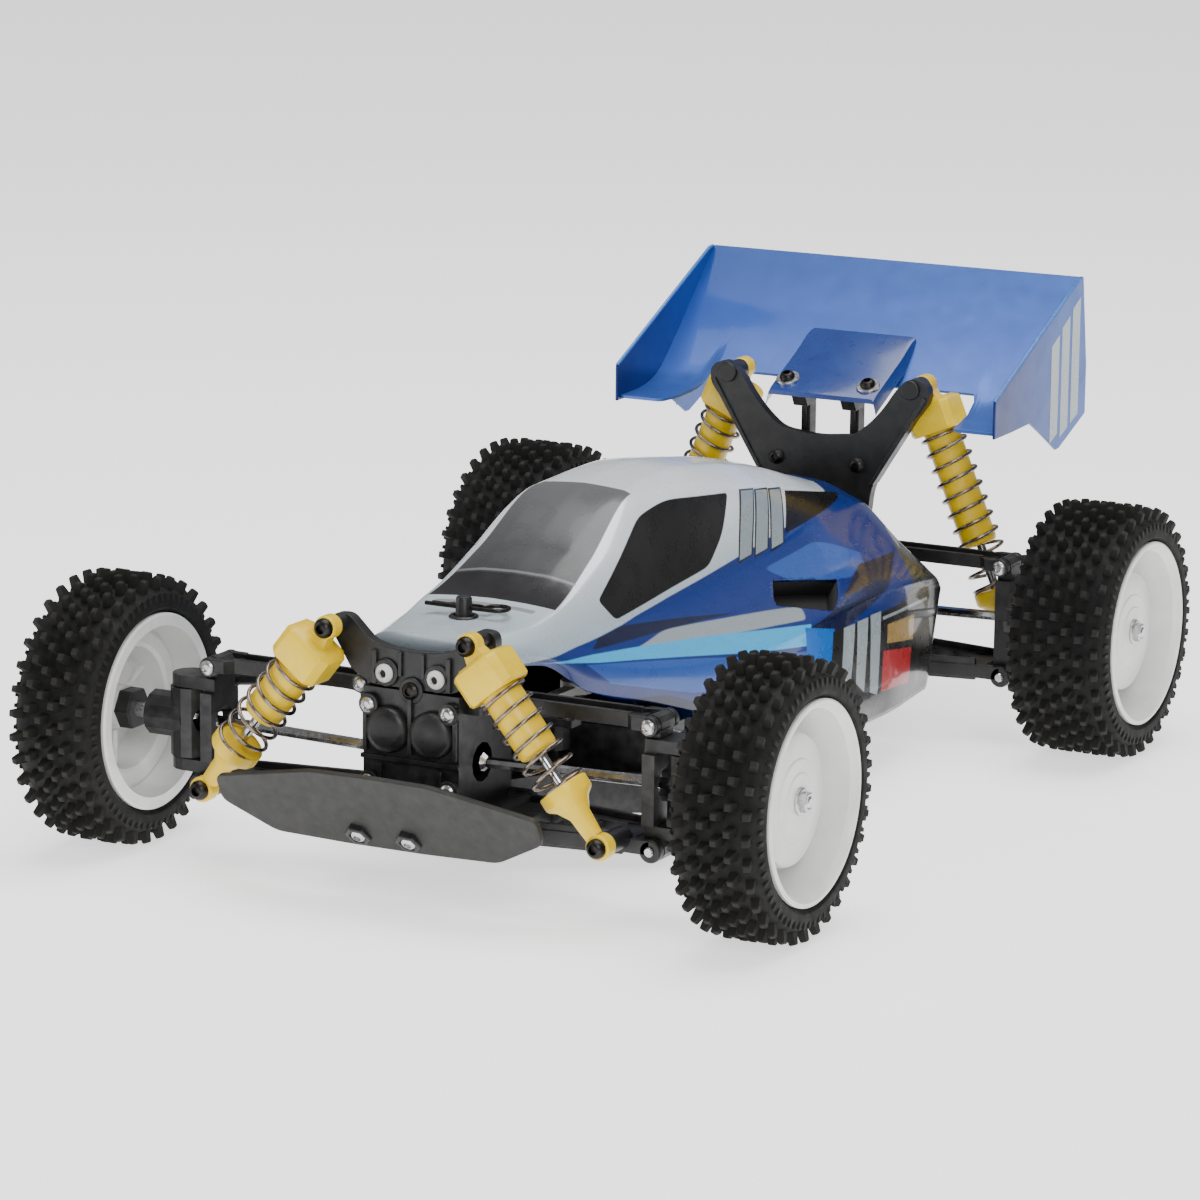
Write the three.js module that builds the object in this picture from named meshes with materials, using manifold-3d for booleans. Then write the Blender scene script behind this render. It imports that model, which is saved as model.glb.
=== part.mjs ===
// A 1/10 scale four-wheel-drive off-road buggy with double-wishbone suspension and coil-over dampers.
// Millimetres, +Z up. The nose points to -Y and the buggy's left side is +X.
// Everything is drawn with the front axle at y = 0 and the ground at z = 0; the last lines
// move the whole group along Y so that the origin lies on the ground under the middle of the buggy.
import * as THREE from "three";
import { mergeVertices } from "three/addons/utils/BufferGeometryUtils.js";
import Module from "manifold-3d";

const wasm = await Module();
wasm.setup();

// ---- driving dimensions -------------------------------------------------------------------------
const WHEELBASE = 253;
const AXLE_Z = 41.5; // also the tyres' radius
const DIFF_Z = 40; // height of the differentials and of the propeller shaft
const FLOOR_Z = 18; // underside of the chassis
const FLOOR_T = 2;
const GAP = 0.4; // clearance between neighbouring pieces
const PIN_R = 1.5;
const PIN_BORE_R = 2;
const BARREL_R = 3.5; // barrels of the lower arms
const UPPER_BARREL_R = 3;
const TRAY_Z = FLOOR_Z + FLOOR_T + GAP; // what stands in the tub stands here
const DECK_Z = 62; // top of the gearboxes
const GEARBOX_HALF = 16;
const PLATE_T = 4; // thickness of the damper towers
const FRONT_TOWER_Y = -13.2; // front faces of the towers
const REAR_TOWER_Y = 256.6;

const WHEELS = {
  front: { inner: 95.5, outer: 124.5 },
  rear: { inner: 87.5, outer: 122.5 },
};
const RIM_R = 30;
const RIM_SEAT_R = 27.6;
const DOME_R = 19.7; // the raised centre of the dish wheel
const STUB_R = 2.4;
const WHEEL_SIDES = 24;

// Suspension pivots of the left side in (x, z). Upper and lower arms form a parallelogram.
const ARM_DROP = 2;
const LOWER_IN = { x: 22, z: 25 };
const UPPER_IN = { x: 20, z: 61 };
const CORNERS = {
  front: { y: 0, way: -1, span: 54, shock: { y: -21, top: { x: 23.6, z: 80 }, low: { x: 66.5, z: 26 } } },
  rear: {
    y: WHEELBASE, way: 1, span: 52,
    shock: { y: WHEELBASE + 15.5, top: { x: 33.7, z: 113 }, low: { x: 69, z: 28 } },
  },
};
const KINGPIN_X = 84;
const HUB_HALF = 5.8; // half width of the hub carriers
const HUB_TOP = 54.5;
const SHAFT_WAY_R = 5.2; // room for a drive shaft's outer end
const STUB_BORE_R = 3;
const ARM_HALF = 15; // half width of a lower arm at its inner pivot
const FORK_IN = 6.4; // inner face of a lower arm's outer fork, from its middle
const FORK_OUT = 9.4;
const UPPER_HALF = 6; // the same three for an upper arm
const UPPER_FORK_IN = 4.5;
const UPPER_FORK_OUT = 7.2;
const ARM_Z = [21.6, 26.2]; // a lower arm's plate
const UPPER_ARM_Z = [58, 62];

// Steering
const LINK_Y = 30;
const POST = { x: 16, y: 44 };
const SERVO_AXIS = { x: 16, y: 58 };
const TIE_IN = { x: 28, z: 52 };
const KNUCKLE_ARM = { x: 82, y: 18 };
const KNUCKLE_ARM_Z = [42.4, 45.8];
const CRANK_Z = [42.4, 45.4];
const HORN_Z = [49.2, 51.6];

// Drive: spur gear on the propeller shaft, pinion on the motor shaft
const MODULE = 0.6;
const SPUR_TEETH = 70;
const PINION_TEETH = 22;
const GEAR_Y = [223, 229];
const SHAFT_R = 2.6;
const CUP_R = 4; // drive cups on the propeller shaft
const CENTRE_DISTANCE = (MODULE * (SPUR_TEETH + PINION_TEETH)) / 2;
const MOTOR_Z = 38.5;
const MOTOR_X = -Math.sqrt(CENTRE_DISTANCE ** 2 - (DIFF_Z - MOTOR_Z) ** 2);

const MOTOR_R = 18;
const MOTOR_SHAFT_R = 1.6;
const MOTOR_Y = [166, 214];

const WING = { half: 70, front: 244, back: 316, tail: 320, backZ: 146 };
const SKIN = 1.3; // body and wing sheet
const SILL_Z = 19.2; // lower edge of the body's sides

// ---- materials ----------------------------------------------------------------------------------
const paint = (color, roughness, metalness) =>
  new THREE.MeshStandardMaterial({ color, roughness, metalness });
const BLACK = paint(0x1d1d1d, 0.55, 0);
const GREY = paint(0x3f3f3d, 0.5, 0);
const RUBBER = paint(0x2b2b29, 0.85, 0);
const WHITE = paint(0xe9e9e6, 0.35, 0);
const YELLOW = paint(0xf2c20c, 0.4, 0);
const STEEL = paint(0xb8b8bc, 0.3, 1);
const BLUE = paint(0x1668c4, 0.25, 0.2);
const SILVER = paint(0xdfe5ea, 0.3, 0.2);
const PACK = paint(0x2456a8, 0.4, 0);

// ---- solid helpers ------------------------------------------------------------------------------
// A closed three.js geometry as a manifold solid, without the sliver triangles of a lathe's poles.
function solid(geometry) {
  const bare = geometry.clone();
  ["normal", "uv"].forEach((name) => bare.deleteAttribute(name));
  const merged = mergeVertices(bare, 1e-4);
  const index = merged.index.array;
  const faces = [];
  for (let i = 0; i < index.length; i += 3) {
    const [a, b, c] = [index[i], index[i + 1], index[i + 2]];
    if (a !== b && b !== c && c !== a) faces.push(a, b, c);
  }
  return new wasm.Manifold(
    new wasm.Mesh({
      numProp: 3,
      vertProperties: new Float32Array(merged.attributes.position.array),
      triVerts: new Uint32Array(faces),
    }),
  );
}

function geometryOf(body) {
  const made = body.getMesh();
  const geometry = new THREE.BufferGeometry();
  geometry.setAttribute("position", new THREE.BufferAttribute(new Float32Array(made.vertProperties), 3));
  geometry.setIndex(new THREE.BufferAttribute(new Uint32Array(made.triVerts), 1));
  geometry.computeVertexNormals();
  return geometry;
}

const join = (...bodies) => bodies.reduce((whole, body) => whole.add(body));
const mirrored = (body) => body.mirror([1, 0, 0]);
const sided = (side, body) => (side < 0 ? mirrored(body) : body);

function block(x0, x1, y0, y1, z0, z1) {
  const geometry = new THREE.BoxGeometry(Math.abs(x1 - x0), Math.abs(y1 - y0), Math.abs(z1 - z0));
  return solid(geometry.translate((x0 + x1) / 2, (y0 + y1) / 2, (z0 + z1) / 2));
}

// A cylinder or cone along an axis; a and b are the other two coordinates in x, y, z order.
function bar(axis, radius, from, to, a, b, sides = 12, endRadius = radius) {
  const geometry = new THREE.CylinderGeometry(endRadius, radius, Math.abs(to - from), sides);
  const middle = (from + to) / 2;
  if (axis === "x") return solid(geometry.rotateZ(-Math.PI / 2).translate(middle, a, b));
  if (axis === "y") return solid(geometry.translate(a, middle, b));
  return solid(geometry.rotateX(Math.PI / 2).translate(a, b, middle));
}

// A barrel along Y between two faces given in either order.
function barrel(radius, yA, yB, x, z, sides = 10) {
  return bar("y", radius, Math.min(yA, yB), Math.max(yA, yB), x, z, sides);
}

function outline(points) {
  const shape = new THREE.Shape();
  points.forEach(([u, v], i) => (i ? shape.lineTo(u, v) : shape.moveTo(u, v)));
  return shape;
}

const extrude = (points, depth) =>
  new THREE.ExtrudeGeometry(outline(points), { depth, bevelEnabled: false });

// A plate drawn in (x, y), from z0 to z1.
const plateXY = (points, z0, z1) => solid(extrude(points, z1 - z0).translate(0, 0, z0));

// A plate drawn in (x, z), from y0 to y1.
const plateXZ = (points, y0, y1) =>
  solid(extrude(points, y1 - y0).rotateX(Math.PI / 2).translate(0, y1, 0));

// A plate drawn in (y, z), from x0 to x1.
const plateYZ = (points, x0, x1) =>
  solid(extrude(points, x1 - x0).rotateX(Math.PI / 2).rotateZ(Math.PI / 2).translate(x0, 0, 0));

// The whole outline of a half that runs from the middle line outwards and back to it, or beside it.
function bothHalves(half) {
  const other = half.filter(([x]) => x > 0).map(([x, v]) => [-x, v]);
  return [...half, ...other.reverse()];
}

// The solid of a geometry whose faces may all point inwards.
function facingOut(geometry) {
  const body = solid(geometry);
  if (body.volume() > 0) return body;
  const turnedOver = geometry.clone();
  const index = turnedOver.index.array;
  for (let i = 0; i < index.length; i += 3) [index[i], index[i + 1]] = [index[i + 1], index[i]];
  return solid(turnedOver);
}

// A solid turned around the X axis; profile points are (distance from x0, radius), and the
// profile closes on itself or has both its ends on the axis.
function turned(profile, x0, way, sides) {
  const points = profile.map(([along, radius]) => new THREE.Vector2(radius, along));
  const body = facingOut(new THREE.LatheGeometry(points, sides).rotateZ(-Math.PI / 2));
  return (way < 0 ? mirrored(body) : body).translate([x0, 0, 0]);
}

const UP_Y = new THREE.Vector3(0, 1, 0);
const buggy = new THREE.Group();
function node(name, body, material, parent = buggy) {
  const mesh = new THREE.Mesh(geometryOf(body), material);
  mesh.name = name;
  parent.add(mesh);
  return mesh;
}

// ---- chassis ------------------------------------------------------------------------------------
const TUB_HALF = 53;
const BODY_POST_TOP = 84.6;
const TUB_TAIL = 216;
const TUB_WALL_Z = 30;
const TUNNEL_Z = 33; // walls beside the propeller shaft
const STOP_Z = 36; // walls in front of and behind the battery

// A shallow tray, open at its tail where the gear case closes it.
function chassisTub() {
  const side = [[14, 19], [22, 34], [49.5, 48], [TUB_HALF, 60], [TUB_HALF, TUB_TAIL]];
  const well = side.map(([x, y]) => [x - FLOOR_T, y < TUB_TAIL ? y + FLOOR_T : y + 5]);
  const inside = plateXY(bothHalves(well), FLOOR_Z + FLOOR_T, TUB_WALL_Z + 5);
  const tray = plateXY(bothHalves(side), FLOOR_Z, TUB_WALL_Z).subtract(inside);
  const posts = [-1, 1].map((s) => bar("z", PIN_BORE_R, FLOOR_Z, 45.8, s * POST.x, POST.y, 10));
  const tunnel = join(
    block(-6, -4.4, 76, 160, FLOOR_Z, TUNNEL_Z),
    block(2.8, 3.8, 76, 200, FLOOR_Z, TUNNEL_Z),
  );
  const batteryStops = join(
    block(12, 44, 80.4, 82.4, FLOOR_Z, STOP_Z),
    block(8, 50, 210.5, 213, FLOOR_Z, STOP_Z),
  );
  return join(tray, ...posts, tunnel, batteryStops);
}

// Ears and a hinge pin for an arm: it turns at pivot, its barrel is half long each way and the
// ears are ear thick, from footX out to the pivot and from z0 to z1.
function pivotEars(cornerY, side, pivot, { half, radius, ear, footX, z0, z1 }) {
  const parts = [bar("y", PIN_R, cornerY - half - 2, cornerY + half + 2, side * pivot.x, pivot.z, 10)];
  for (const end of [-1, 1]) {
    const near = cornerY + end * (half + GAP);
    const far = near + end * ear;
    parts.push(block(side * footX, side * pivot.x, near, far, z0, z1));
    parts.push(barrel(radius, near, far, side * pivot.x, pivot.z));
  }
  return parts;
}

function armMounts(cornerY) {
  const lower = {
    half: ARM_HALF, radius: BARREL_R, ear: 3, footX: 14, z0: FLOOR_Z, z1: LOWER_IN.z + BARREL_R,
  };
  const upper = {
    half: UPPER_HALF, radius: UPPER_BARREL_R, ear: 2.6, footX: 12,
    z0: UPPER_IN.z - 5, z1: UPPER_IN.z + UPPER_BARREL_R,
  };
  return [-1, 1].flatMap((side) => [
    ...pivotEars(cornerY, side, LOWER_IN, lower),
    ...pivotEars(cornerY, side, UPPER_IN, upper),
  ]);
}

// The two openings that the drive shafts' inner ends plunge into.
const outputHoles = (cornerY) =>
  join(...[-19, 9].map((x) => bar("x", 6, x, x + 10, cornerY, DIFF_Z)));

const SHAFT_BORE_R = 3.4;

function frontGearbox() {
  const base = FLOOR_Z + GAP;
  const main = block(-GEARBOX_HALF, GEARBOX_HALF, -14, 17.6, base, DECK_Z);
  const snout = bar("y", 9, 17, 25, 0, DIFF_Z);
  const foot = block(-12, 12, -24, -13, base, 27);
  const shaftHole = bar("y", SHAFT_BORE_R, 12, 27, 0, DIFF_Z, 10);
  const body = join(main, snout, foot, ...armMounts(CORNERS.front.y));
  return body.subtract(outputHoles(CORNERS.front.y)).subtract(shaftHole);
}

// The rear gearbox and, in front of it, the case around spur gear and pinion.
function rearGearbox() {
  const [left, right, front, back, top] = [-46, 26, 216.5, 236, 56];
  const wall = 3;
  const main = block(-GEARBOX_HALF, GEARBOX_HALF, back - wall, 272, FLOOR_Z, DECK_Z);
  const gearCase = join(
    block(left, right, front, front + wall, FLOOR_Z, top),
    block(right - wall, right, front + wall - 0.5, back, FLOOR_Z, top),
    block(left, left + wall, front + wall - 0.5, back, FLOOR_Z, top),
    block(left, right, back - wall, back, FLOOR_Z, top),
  );
  const holes = join(
    bar("y", CUP_R + GAP, front - 0.5, back + 1, 0, DIFF_Z, 10),
    bar("y", SHAFT_BORE_R, 230, 246, 0, DIFF_Z, 10),
    bar("y", 9, front - 0.5, front + wall + 0.5, MOTOR_X, MOTOR_Z),
  );
  const body = join(main, gearCase, ...armMounts(CORNERS.rear.y));
  return body.subtract(outputHoles(CORNERS.rear.y)).subtract(holes);
}

// The boss behind or before a tower that carries a damper's upper eye.
const towerBosses = ({ top }, y0, y1) =>
  [-1, 1].map((side) => bar("y", 2.6, y0, y1, side * top.x, top.z, 10));

const TOWER_FOOT = DECK_Z + GAP;

// The front damper mount, with the body post moulded behind it.
function frontShockTower() {
  const half = [
    [0, TOWER_FOOT], [13, TOWER_FOOT], [20.5, 66], [27.8, 78], [27, 82.2],
    [21.5, 82.6], [14, 75.5], [0, 73.5],
  ];
  const plate = plateXZ(bothHalves(half), FRONT_TOWER_Y, FRONT_TOWER_Y + PLATE_T);
  const bosses = towerBosses(CORNERS.front.shock, -18, FRONT_TOWER_Y + 1);
  const deck = block(-7, 7, -11, 20, TOWER_FOOT, TOWER_FOOT + 3);
  const post = block(-2.4, 2.4, 14.6, 19.4, TOWER_FOOT + 1.5, BODY_POST_TOP);
  return join(plate, deck, post, ...bosses);
}

function rearShockTower() {
  const half = [
    [0, TOWER_FOOT], [11, TOWER_FOOT], [11, 64.6], [21, 64.6], [23, 80], [30, 96], [41, 110],
    [38, 117.5], [31, 116], [20, 103], [12, 95], [0, 94],
  ];
  const plate = plateXZ(bothHalves(half), REAR_TOWER_Y, REAR_TOWER_Y + PLATE_T);
  return join(plate, ...towerBosses(CORNERS.rear.shock, REAR_TOWER_Y + PLATE_T - 0.6, 265.6));
}

// A shield that leans forward at its top, on a foot that is screwed under the gearbox.
function frontBumper() {
  const half = [[0, 0], [37, 0], [53.5, 9.5], [53.5, 19], [20, 26], [0, 26]];
  const lean = THREE.MathUtils.degToRad(26);
  const face = extrude(bothHalves(half), 2.6).rotateX(Math.PI / 2 + lean).translate(0, -25.5, 18.8);
  return join(solid(face), block(-17, 17, -27.5, -25, 20, 28));
}

// ---- electrics ----------------------------------------------------------------------------------
function motor() {
  const [front, back] = MOTOR_Y;
  const can = bar("y", MOTOR_R, front, back, MOTOR_X, MOTOR_Z, 28);
  const nose = bar("y", 6.5, back - 1, back + 2, MOTOR_X, MOTOR_Z);
  const tail = bar("y", 5, front - 4, front + 1, MOTOR_X, MOTOR_Z);
  const shaft = bar("y", MOTOR_SHAFT_R, back + 1, back + 7.5, MOTOR_X, MOTOR_Z, 10);
  return join(can, nose, tail, shaft);
}

// Six cells in two rows of three, under one sleeve.
function batteryPack() {
  const cell = 22.6;
  const [front, back] = [84, 208];
  const middle = TRAY_Z + cell / 2;
  const rows = [0.5, 1.47].map((place) => bar("y", cell / 2, front, back, 4.6 + cell * place, middle));
  return join(block(10, 44, front + 0.6, back - 0.6, middle - 8, middle + 8), ...rows);
}

function servoBody() {
  const box = block(7, 46.5, 50, 70, TRAY_Z, 42);
  return join(box, bar("z", 3, 41, HORN_Z[0] - 0.6, SERVO_AXIS.x, SERVO_AXIS.y, 10));
}

function speedController() {
  const [x0, x1, y0, top] = [-47, -13, 84, 35];
  const fins = [0, 1, 2, 3, 4].map((i) => {
    const y = y0 + 2 + 7 * i;
    return block(x0 + 1, x1 - 1, y, y + 3, top - 1, top + 4);
  });
  return join(block(x0, x1, y0, y0 + 35, TRAY_Z, top), ...fins);
}

function receiver() {
  const plugs = block(-36, -18, 152, 158, 24, 31);
  return join(block(-40, -14, 123, 156, TRAY_Z, 34), plugs);
}

// ---- gears --------------------------------------------------------------------------------------
// Straight teeth with short, slim tips, so that the pair runs with backlash.
function gear(teeth, phase) {
  const pitch = (MODULE * teeth) / 2;
  const [tip, root] = [pitch + 0.75 * MODULE, pitch - 1.25 * MODULE];
  const step = (2 * Math.PI) / teeth;
  const points = [];
  for (let i = 0; i < teeth; i++) {
    for (const [share, radius] of [[-0.27, root], [-0.1, tip], [0.1, tip], [0.27, root]]) {
      const angle = (i + share) * step + phase;
      points.push([radius * Math.cos(angle), radius * Math.sin(angle)]);
    }
  }
  return points;
}

// The pair's line of centres: a spur tooth points along it, and a pinion gap.
const LINE = Math.atan2(MOTOR_Z - DIFF_Z, MOTOR_X);
const gearAt = (points, x, z, [y0, y1]) => plateXZ(points, y0, y1).translate([x, 0, z]);

function propellerShaft() {
  const spur = gearAt(gear(SPUR_TEETH, LINE), 0, DIFF_Z, GEAR_Y);
  const shaft = bar("y", SHAFT_R, 15, 243, 0, DIFF_Z, 10);
  const cups = [27, 203].map((y) => bar("y", CUP_R, y, y + 11, 0, DIFF_Z, 10));
  return join(spur, shaft, ...cups);
}

function motorPinion() {
  const phase = LINE + Math.PI + Math.PI / PINION_TEETH;
  const [front, back] = [GEAR_Y[0] - 1, GEAR_Y[1] + 1];
  const teeth = gearAt(gear(PINION_TEETH, phase), MOTOR_X, MOTOR_Z, [front, back]);
  return teeth.subtract(bar("y", MOTOR_SHAFT_R + 0.5, front - 1, front + 4, MOTOR_X, MOTOR_Z, 10));
}

// ---- steering -----------------------------------------------------------------------------------
// Both cranks and the servo horn have such an arm, from their own axis to the link's line.
function crankArm(x, y, halfWidth, [z0, z1], overrun) {
  const beam = block(x - halfWidth, x + halfWidth, LINK_Y - overrun, y, z0, z1);
  return join(beam, bar("z", 3, z0, z1, x, LINK_Y, 10));
}

function bellcrank(side) {
  const [x, y] = [side * POST.x, POST.y];
  const hub = bar("z", 5, 35, CRANK_Z[1], x, y);
  const bore = bar("z", PIN_BORE_R + 0.5, 34, CRANK_Z[1] + 1, x, y, 10);
  return join(hub, crankArm(x, y, 2.5, CRANK_Z, 1)).subtract(bore);
}

const LINK_Z = [46.1, 48.4];
const steeringLink = () => block(-31, 31, LINK_Y - 3, LINK_Y + 3, ...LINK_Z);

function servoHorn() {
  const { x, y } = SERVO_AXIS;
  return join(bar("z", 5, HORN_Z[0], 53, x, y), crankArm(x, y, 2, HORN_Z, 1.5));
}

// Turns a shape drawn up the Y axis from the origin so that it starts at inner and runs to outer.
function layAlong(geometry, inner, outer) {
  const along = outer.clone().sub(inner).normalize();
  geometry.applyQuaternion(new THREE.Quaternion().setFromUnitVectors(UP_Y, along));
  geometry.translate(...inner.toArray());
}

// A rod with a socket at each end, from the steering link to the knuckle's arm.
function tieRod(side) {
  const inner = new THREE.Vector3(TIE_IN.x, LINK_Y, TIE_IN.z);
  const outer = new THREE.Vector3(TIE_IN.x + CORNERS.front.span, KNUCKLE_ARM.y, TIE_IN.z - ARM_DROP);
  const length = inner.distanceTo(outer);
  const rod = new THREE.CylinderGeometry(PIN_R, PIN_R, length, 10).translate(0, length / 2, 0);
  layAlong(rod, inner, outer);
  const sockets = [inner, outer].map((p) => bar("z", 3, p.z - 2.2, p.z + 2.2, p.x, p.y, 10));
  return sided(side, join(solid(rod), ...sockets));
}

// ---- suspension, drawn for the left side and mirrored for the right ------------------------------
const outerPivot = (inner, span) => ({ x: inner.x + span, z: inner.z - ARM_DROP });

// The outline of both halves of an arm, drawn in (x, distance from the arm's middle).
const armOutline = (half) => [...half, ...half.map(([x, v]) => [x, -v]).reverse()];

function forkBarrels(radius, y, inner, outer, pivot) {
  return [-1, 1].map((end) => barrel(radius, y + end * inner, y + end * outer, pivot.x, pivot.z));
}

function lowerArm(corner, side) {
  const { y, way, span, shock } = corner;
  const out = outerPivot(LOWER_IN, span);
  const shape = armOutline([
    [LOWER_IN.x, -ARM_HALF], [LOWER_IN.x + 9, -ARM_HALF], [out.x - 9, -FORK_OUT],
    [out.x, -FORK_OUT], [out.x, -FORK_IN], [out.x - 6, -FORK_IN],
  ]);
  const window = armOutline([[LOWER_IN.x + 13, -7], [out.x - 16, -4.5]]);
  const solidArm = plateXY(shape, ...ARM_Z);
  const plate = solidArm.subtract(plateXY(window, ARM_Z[0] - 1, ARM_Z[1] + 1)).translate([0, y, 0]);
  const inner = bar("y", BARREL_R, y - ARM_HALF, y + ARM_HALF, LOWER_IN.x, LOWER_IN.z, 10);
  const prongs = forkBarrels(BARREL_R, y, FORK_IN, FORK_OUT, out);
  const pin = bar("y", PIN_R, y - FORK_OUT, y + FORK_OUT, out.x, out.z, 8);
  const damperBoss = barrel(3.2, y + way * 7, shock.y - way * 3.2, shock.low.x, shock.low.z);
  const ribY = y + way * 9;
  const rib = block(LOWER_IN.x + 4, out.x - 8, ribY - 1.2, ribY + 1.2, ARM_Z[0] + 0.4, 28.4);
  const body = join(plate, inner, ...prongs, pin, damperBoss, rib);
  const bore = bar("y", PIN_BORE_R, y - ARM_HALF - 1, y + ARM_HALF + 1, LOWER_IN.x, LOWER_IN.z, 10);
  return sided(side, body.subtract(bore));
}

function upperArm(corner, side) {
  const { y, span } = corner;
  const out = outerPivot(UPPER_IN, span);
  const shape = armOutline([
    [UPPER_IN.x, -UPPER_HALF], [UPPER_IN.x + 8, -4.6], [out.x - 8, -4.6], [out.x - 5.5, -UPPER_FORK_OUT],
    [out.x, -UPPER_FORK_OUT], [out.x, -UPPER_FORK_IN], [out.x - 4.6, -UPPER_FORK_IN],
  ]);
  const plate = plateXY(shape, ...UPPER_ARM_Z).translate([0, y, 0]);
  const inner = bar("y", UPPER_BARREL_R, y - UPPER_HALF, y + UPPER_HALF, UPPER_IN.x, UPPER_IN.z, 10);
  const prongs = forkBarrels(UPPER_BARREL_R, y, UPPER_FORK_IN, UPPER_FORK_OUT, out);
  const pin = bar("y", PIN_R, y - 7, y + 7, out.x, out.z, 10);
  const bore = bar("y", PIN_BORE_R, y - UPPER_HALF - 1, y + UPPER_HALF + 1, UPPER_IN.x, UPPER_IN.z, 10);
  return sided(side, join(plate, inner, ...prongs, pin).subtract(bore));
}

// A hub carrier's two barrels, which stand between the arms' forks, and their bores.
function outerBarrels({ y, span }) {
  const low = outerPivot(LOWER_IN, span);
  const high = outerPivot(UPPER_IN, span);
  const solids = [
    bar("y", BARREL_R, y - FORK_IN + GAP, y + FORK_IN - GAP, low.x, low.z, 10),
    bar("y", UPPER_BARREL_R, y - UPPER_FORK_IN + GAP, y + UPPER_FORK_IN - GAP, high.x, high.z, 10),
  ];
  const bores = [low, high].map((pivot) => bar("y", PIN_BORE_R, y - 8, y + 8, pivot.x, pivot.z, 10));
  return { solids, bores: join(...bores), low, high };
}

// The C-shaped carrier that holds a steering knuckle on its kingpin.
function frontHub(side) {
  const { solids, bores, low, high } = outerBarrels(CORNERS.front);
  const back = low.x - 3.6;
  const face = 76.4;
  const web = join(
    block(back, face, -HUB_HALF, HUB_HALF, low.z + 1.5, HUB_TOP),
    block(back, face, -4, 4, HUB_TOP - 0.5, high.z),
    block(back, face, -7.6, 7.6, 30, 51),
  );
  const ears = [26, 51.6].flatMap((z) => [
    block(back, KINGPIN_X, -HUB_HALF, HUB_HALF, z, z + 3.6),
    bar("z", HUB_HALF, z, z + 3.6, KINGPIN_X, 0),
  ]);
  const waist = bar("x", SHAFT_WAY_R, back - 6, face + 2, 0, AXLE_Z - 0.4);
  return sided(side, join(web, ...ears, ...solids).subtract(bores).subtract(waist));
}

function knuckle(side) {
  const kingpin = bar("z", 6.4, 30, 51.2, KINGPIN_X, 0);
  const tube = bar("x", 7, KINGPIN_X, 97, 0, AXLE_Z);
  const lever = plateXY([[81, 3], [87, 3], [84.6, 18], [79.4, 18]], ...KNUCKLE_ARM_Z);
  const tip = bar("z", 2.6, ...KNUCKLE_ARM_Z, KNUCKLE_ARM.x, KNUCKLE_ARM.y, 10);
  const bores = join(
    bar("x", SHAFT_WAY_R, 76, 91, 0, AXLE_Z),
    bar("x", STUB_BORE_R, 90, 98, 0, AXLE_Z, 10),
  );
  return sided(side, join(kingpin, tube, lever, tip).subtract(bores));
}

function rearHub(side) {
  const { y } = CORNERS.rear;
  const { solids, bores, low, high } = outerBarrels(CORNERS.rear);
  const back = low.x - 3.8;
  const upright = block(back, low.x + 5, y - HUB_HALF, y + HUB_HALF, low.z + 1.5, HUB_TOP);
  const neck = block(back, high.x + 3, y - 4, y + 4, high.z - 6, high.z);
  const tube = bar("x", 7.5, low.x, 92, y, AXLE_Z);
  const cuts = join(
    bar("x", SHAFT_WAY_R + 0.2, 68, 84, y, AXLE_Z),
    bar("x", STUB_BORE_R, 83, 93, y, AXLE_Z, 10),
  );
  return sided(side, join(upright, neck, tube, ...solids).subtract(bores).subtract(cuts));
}

// A dog bone: a slim shaft with a ball and drive pin at each end.
function driveShaft(corner, side) {
  const inner = new THREE.Vector3(15, corner.y, DIFF_Z);
  const outer = new THREE.Vector3(corner === CORNERS.front ? KINGPIN_X : 79, corner.y, AXLE_Z);
  const ball = 2.5; // from a ball's middle to the shaft's end
  const length = inner.distanceTo(outer) + 2 * ball;
  const near = [[0, 0], [1.6, 0], [2.9, 1.4], [2.9, 4], [1.7, 5.5]];
  const far = near.map(([radius, along]) => [radius, length - along]).reverse();
  const points = [...near, ...far].map(([radius, along]) => new THREE.Vector2(radius, along - ball));
  const shaft = new THREE.LatheGeometry(points, 8);
  layAlong(shaft, inner, outer);
  return sided(side, solid(shaft));
}

// ---- wheels -------------------------------------------------------------------------------------
// A deep dish with a raised dome, and the stub axle and nut that turn with it.
function rim(wheel, corner, side) {
  const width = wheel.outer - wheel.inner;
  const stubIn = (corner === CORNERS.front ? 92.5 : 85.5) - wheel.inner;
  const profile = [
    [stubIn, 0], [stubIn, STUB_R], [width - 16.5, STUB_R], [width - 16.5, 7], [width - 8.5, 7],
    [width - 8.5, DOME_R - 1.5], [width - 19, DOME_R - 1.2], [width - 19, 26], [0, 26], [0, RIM_R],
    [2.6, RIM_SEAT_R], [width - 2.6, RIM_SEAT_R], [width, RIM_R], [width - 17, 25],
    [width - 17, DOME_R + 0.6], [width - 7, DOME_R], [width - 5, 15], [width - 5, 4],
    [width - 1, 3], [width - 1, 0],
  ];
  return turned(profile, side * wheel.inner, side, WHEEL_SIDES).translate([0, corner.y, AXLE_Z]);
}

function tyre(wheel, corner, side) {
  const width = wheel.outer - wheel.inner;
  const half = [[3, RIM_SEAT_R + GAP], [3, 30.6], [0.2, 31.4], [0.6, 38], [6, AXLE_Z]];
  const far = half.map(([along, radius]) => [width - along, radius]).reverse();
  const ring = turned([...half, ...far, half[0]], side * wheel.inner, side, WHEEL_SIDES);
  return ring.translate([0, corner.y, AXLE_Z]);
}

// ---- dampers, drawn hanging down from the top eye at the origin ----------------------------------
// Distances from the top eye: lower end of cap and of barrel, and top of the spring's seat.
const SHOCKS = {
  front: { cap: 16, body: 37, seat: 50, springTurns: 6 },
  rear: { cap: 16, body: 56, seat: 73, springTurns: 9 },
};
const EYE_HALF = 2.5;
const EYE_BORE_R = 1.7;
const ROD_R = 1.5;
const SHOCK_BARREL_R = 6;
const SPRING_R = 7.15;
const WIRE = 0.6;
const SEAT_R = 7.8;

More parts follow.
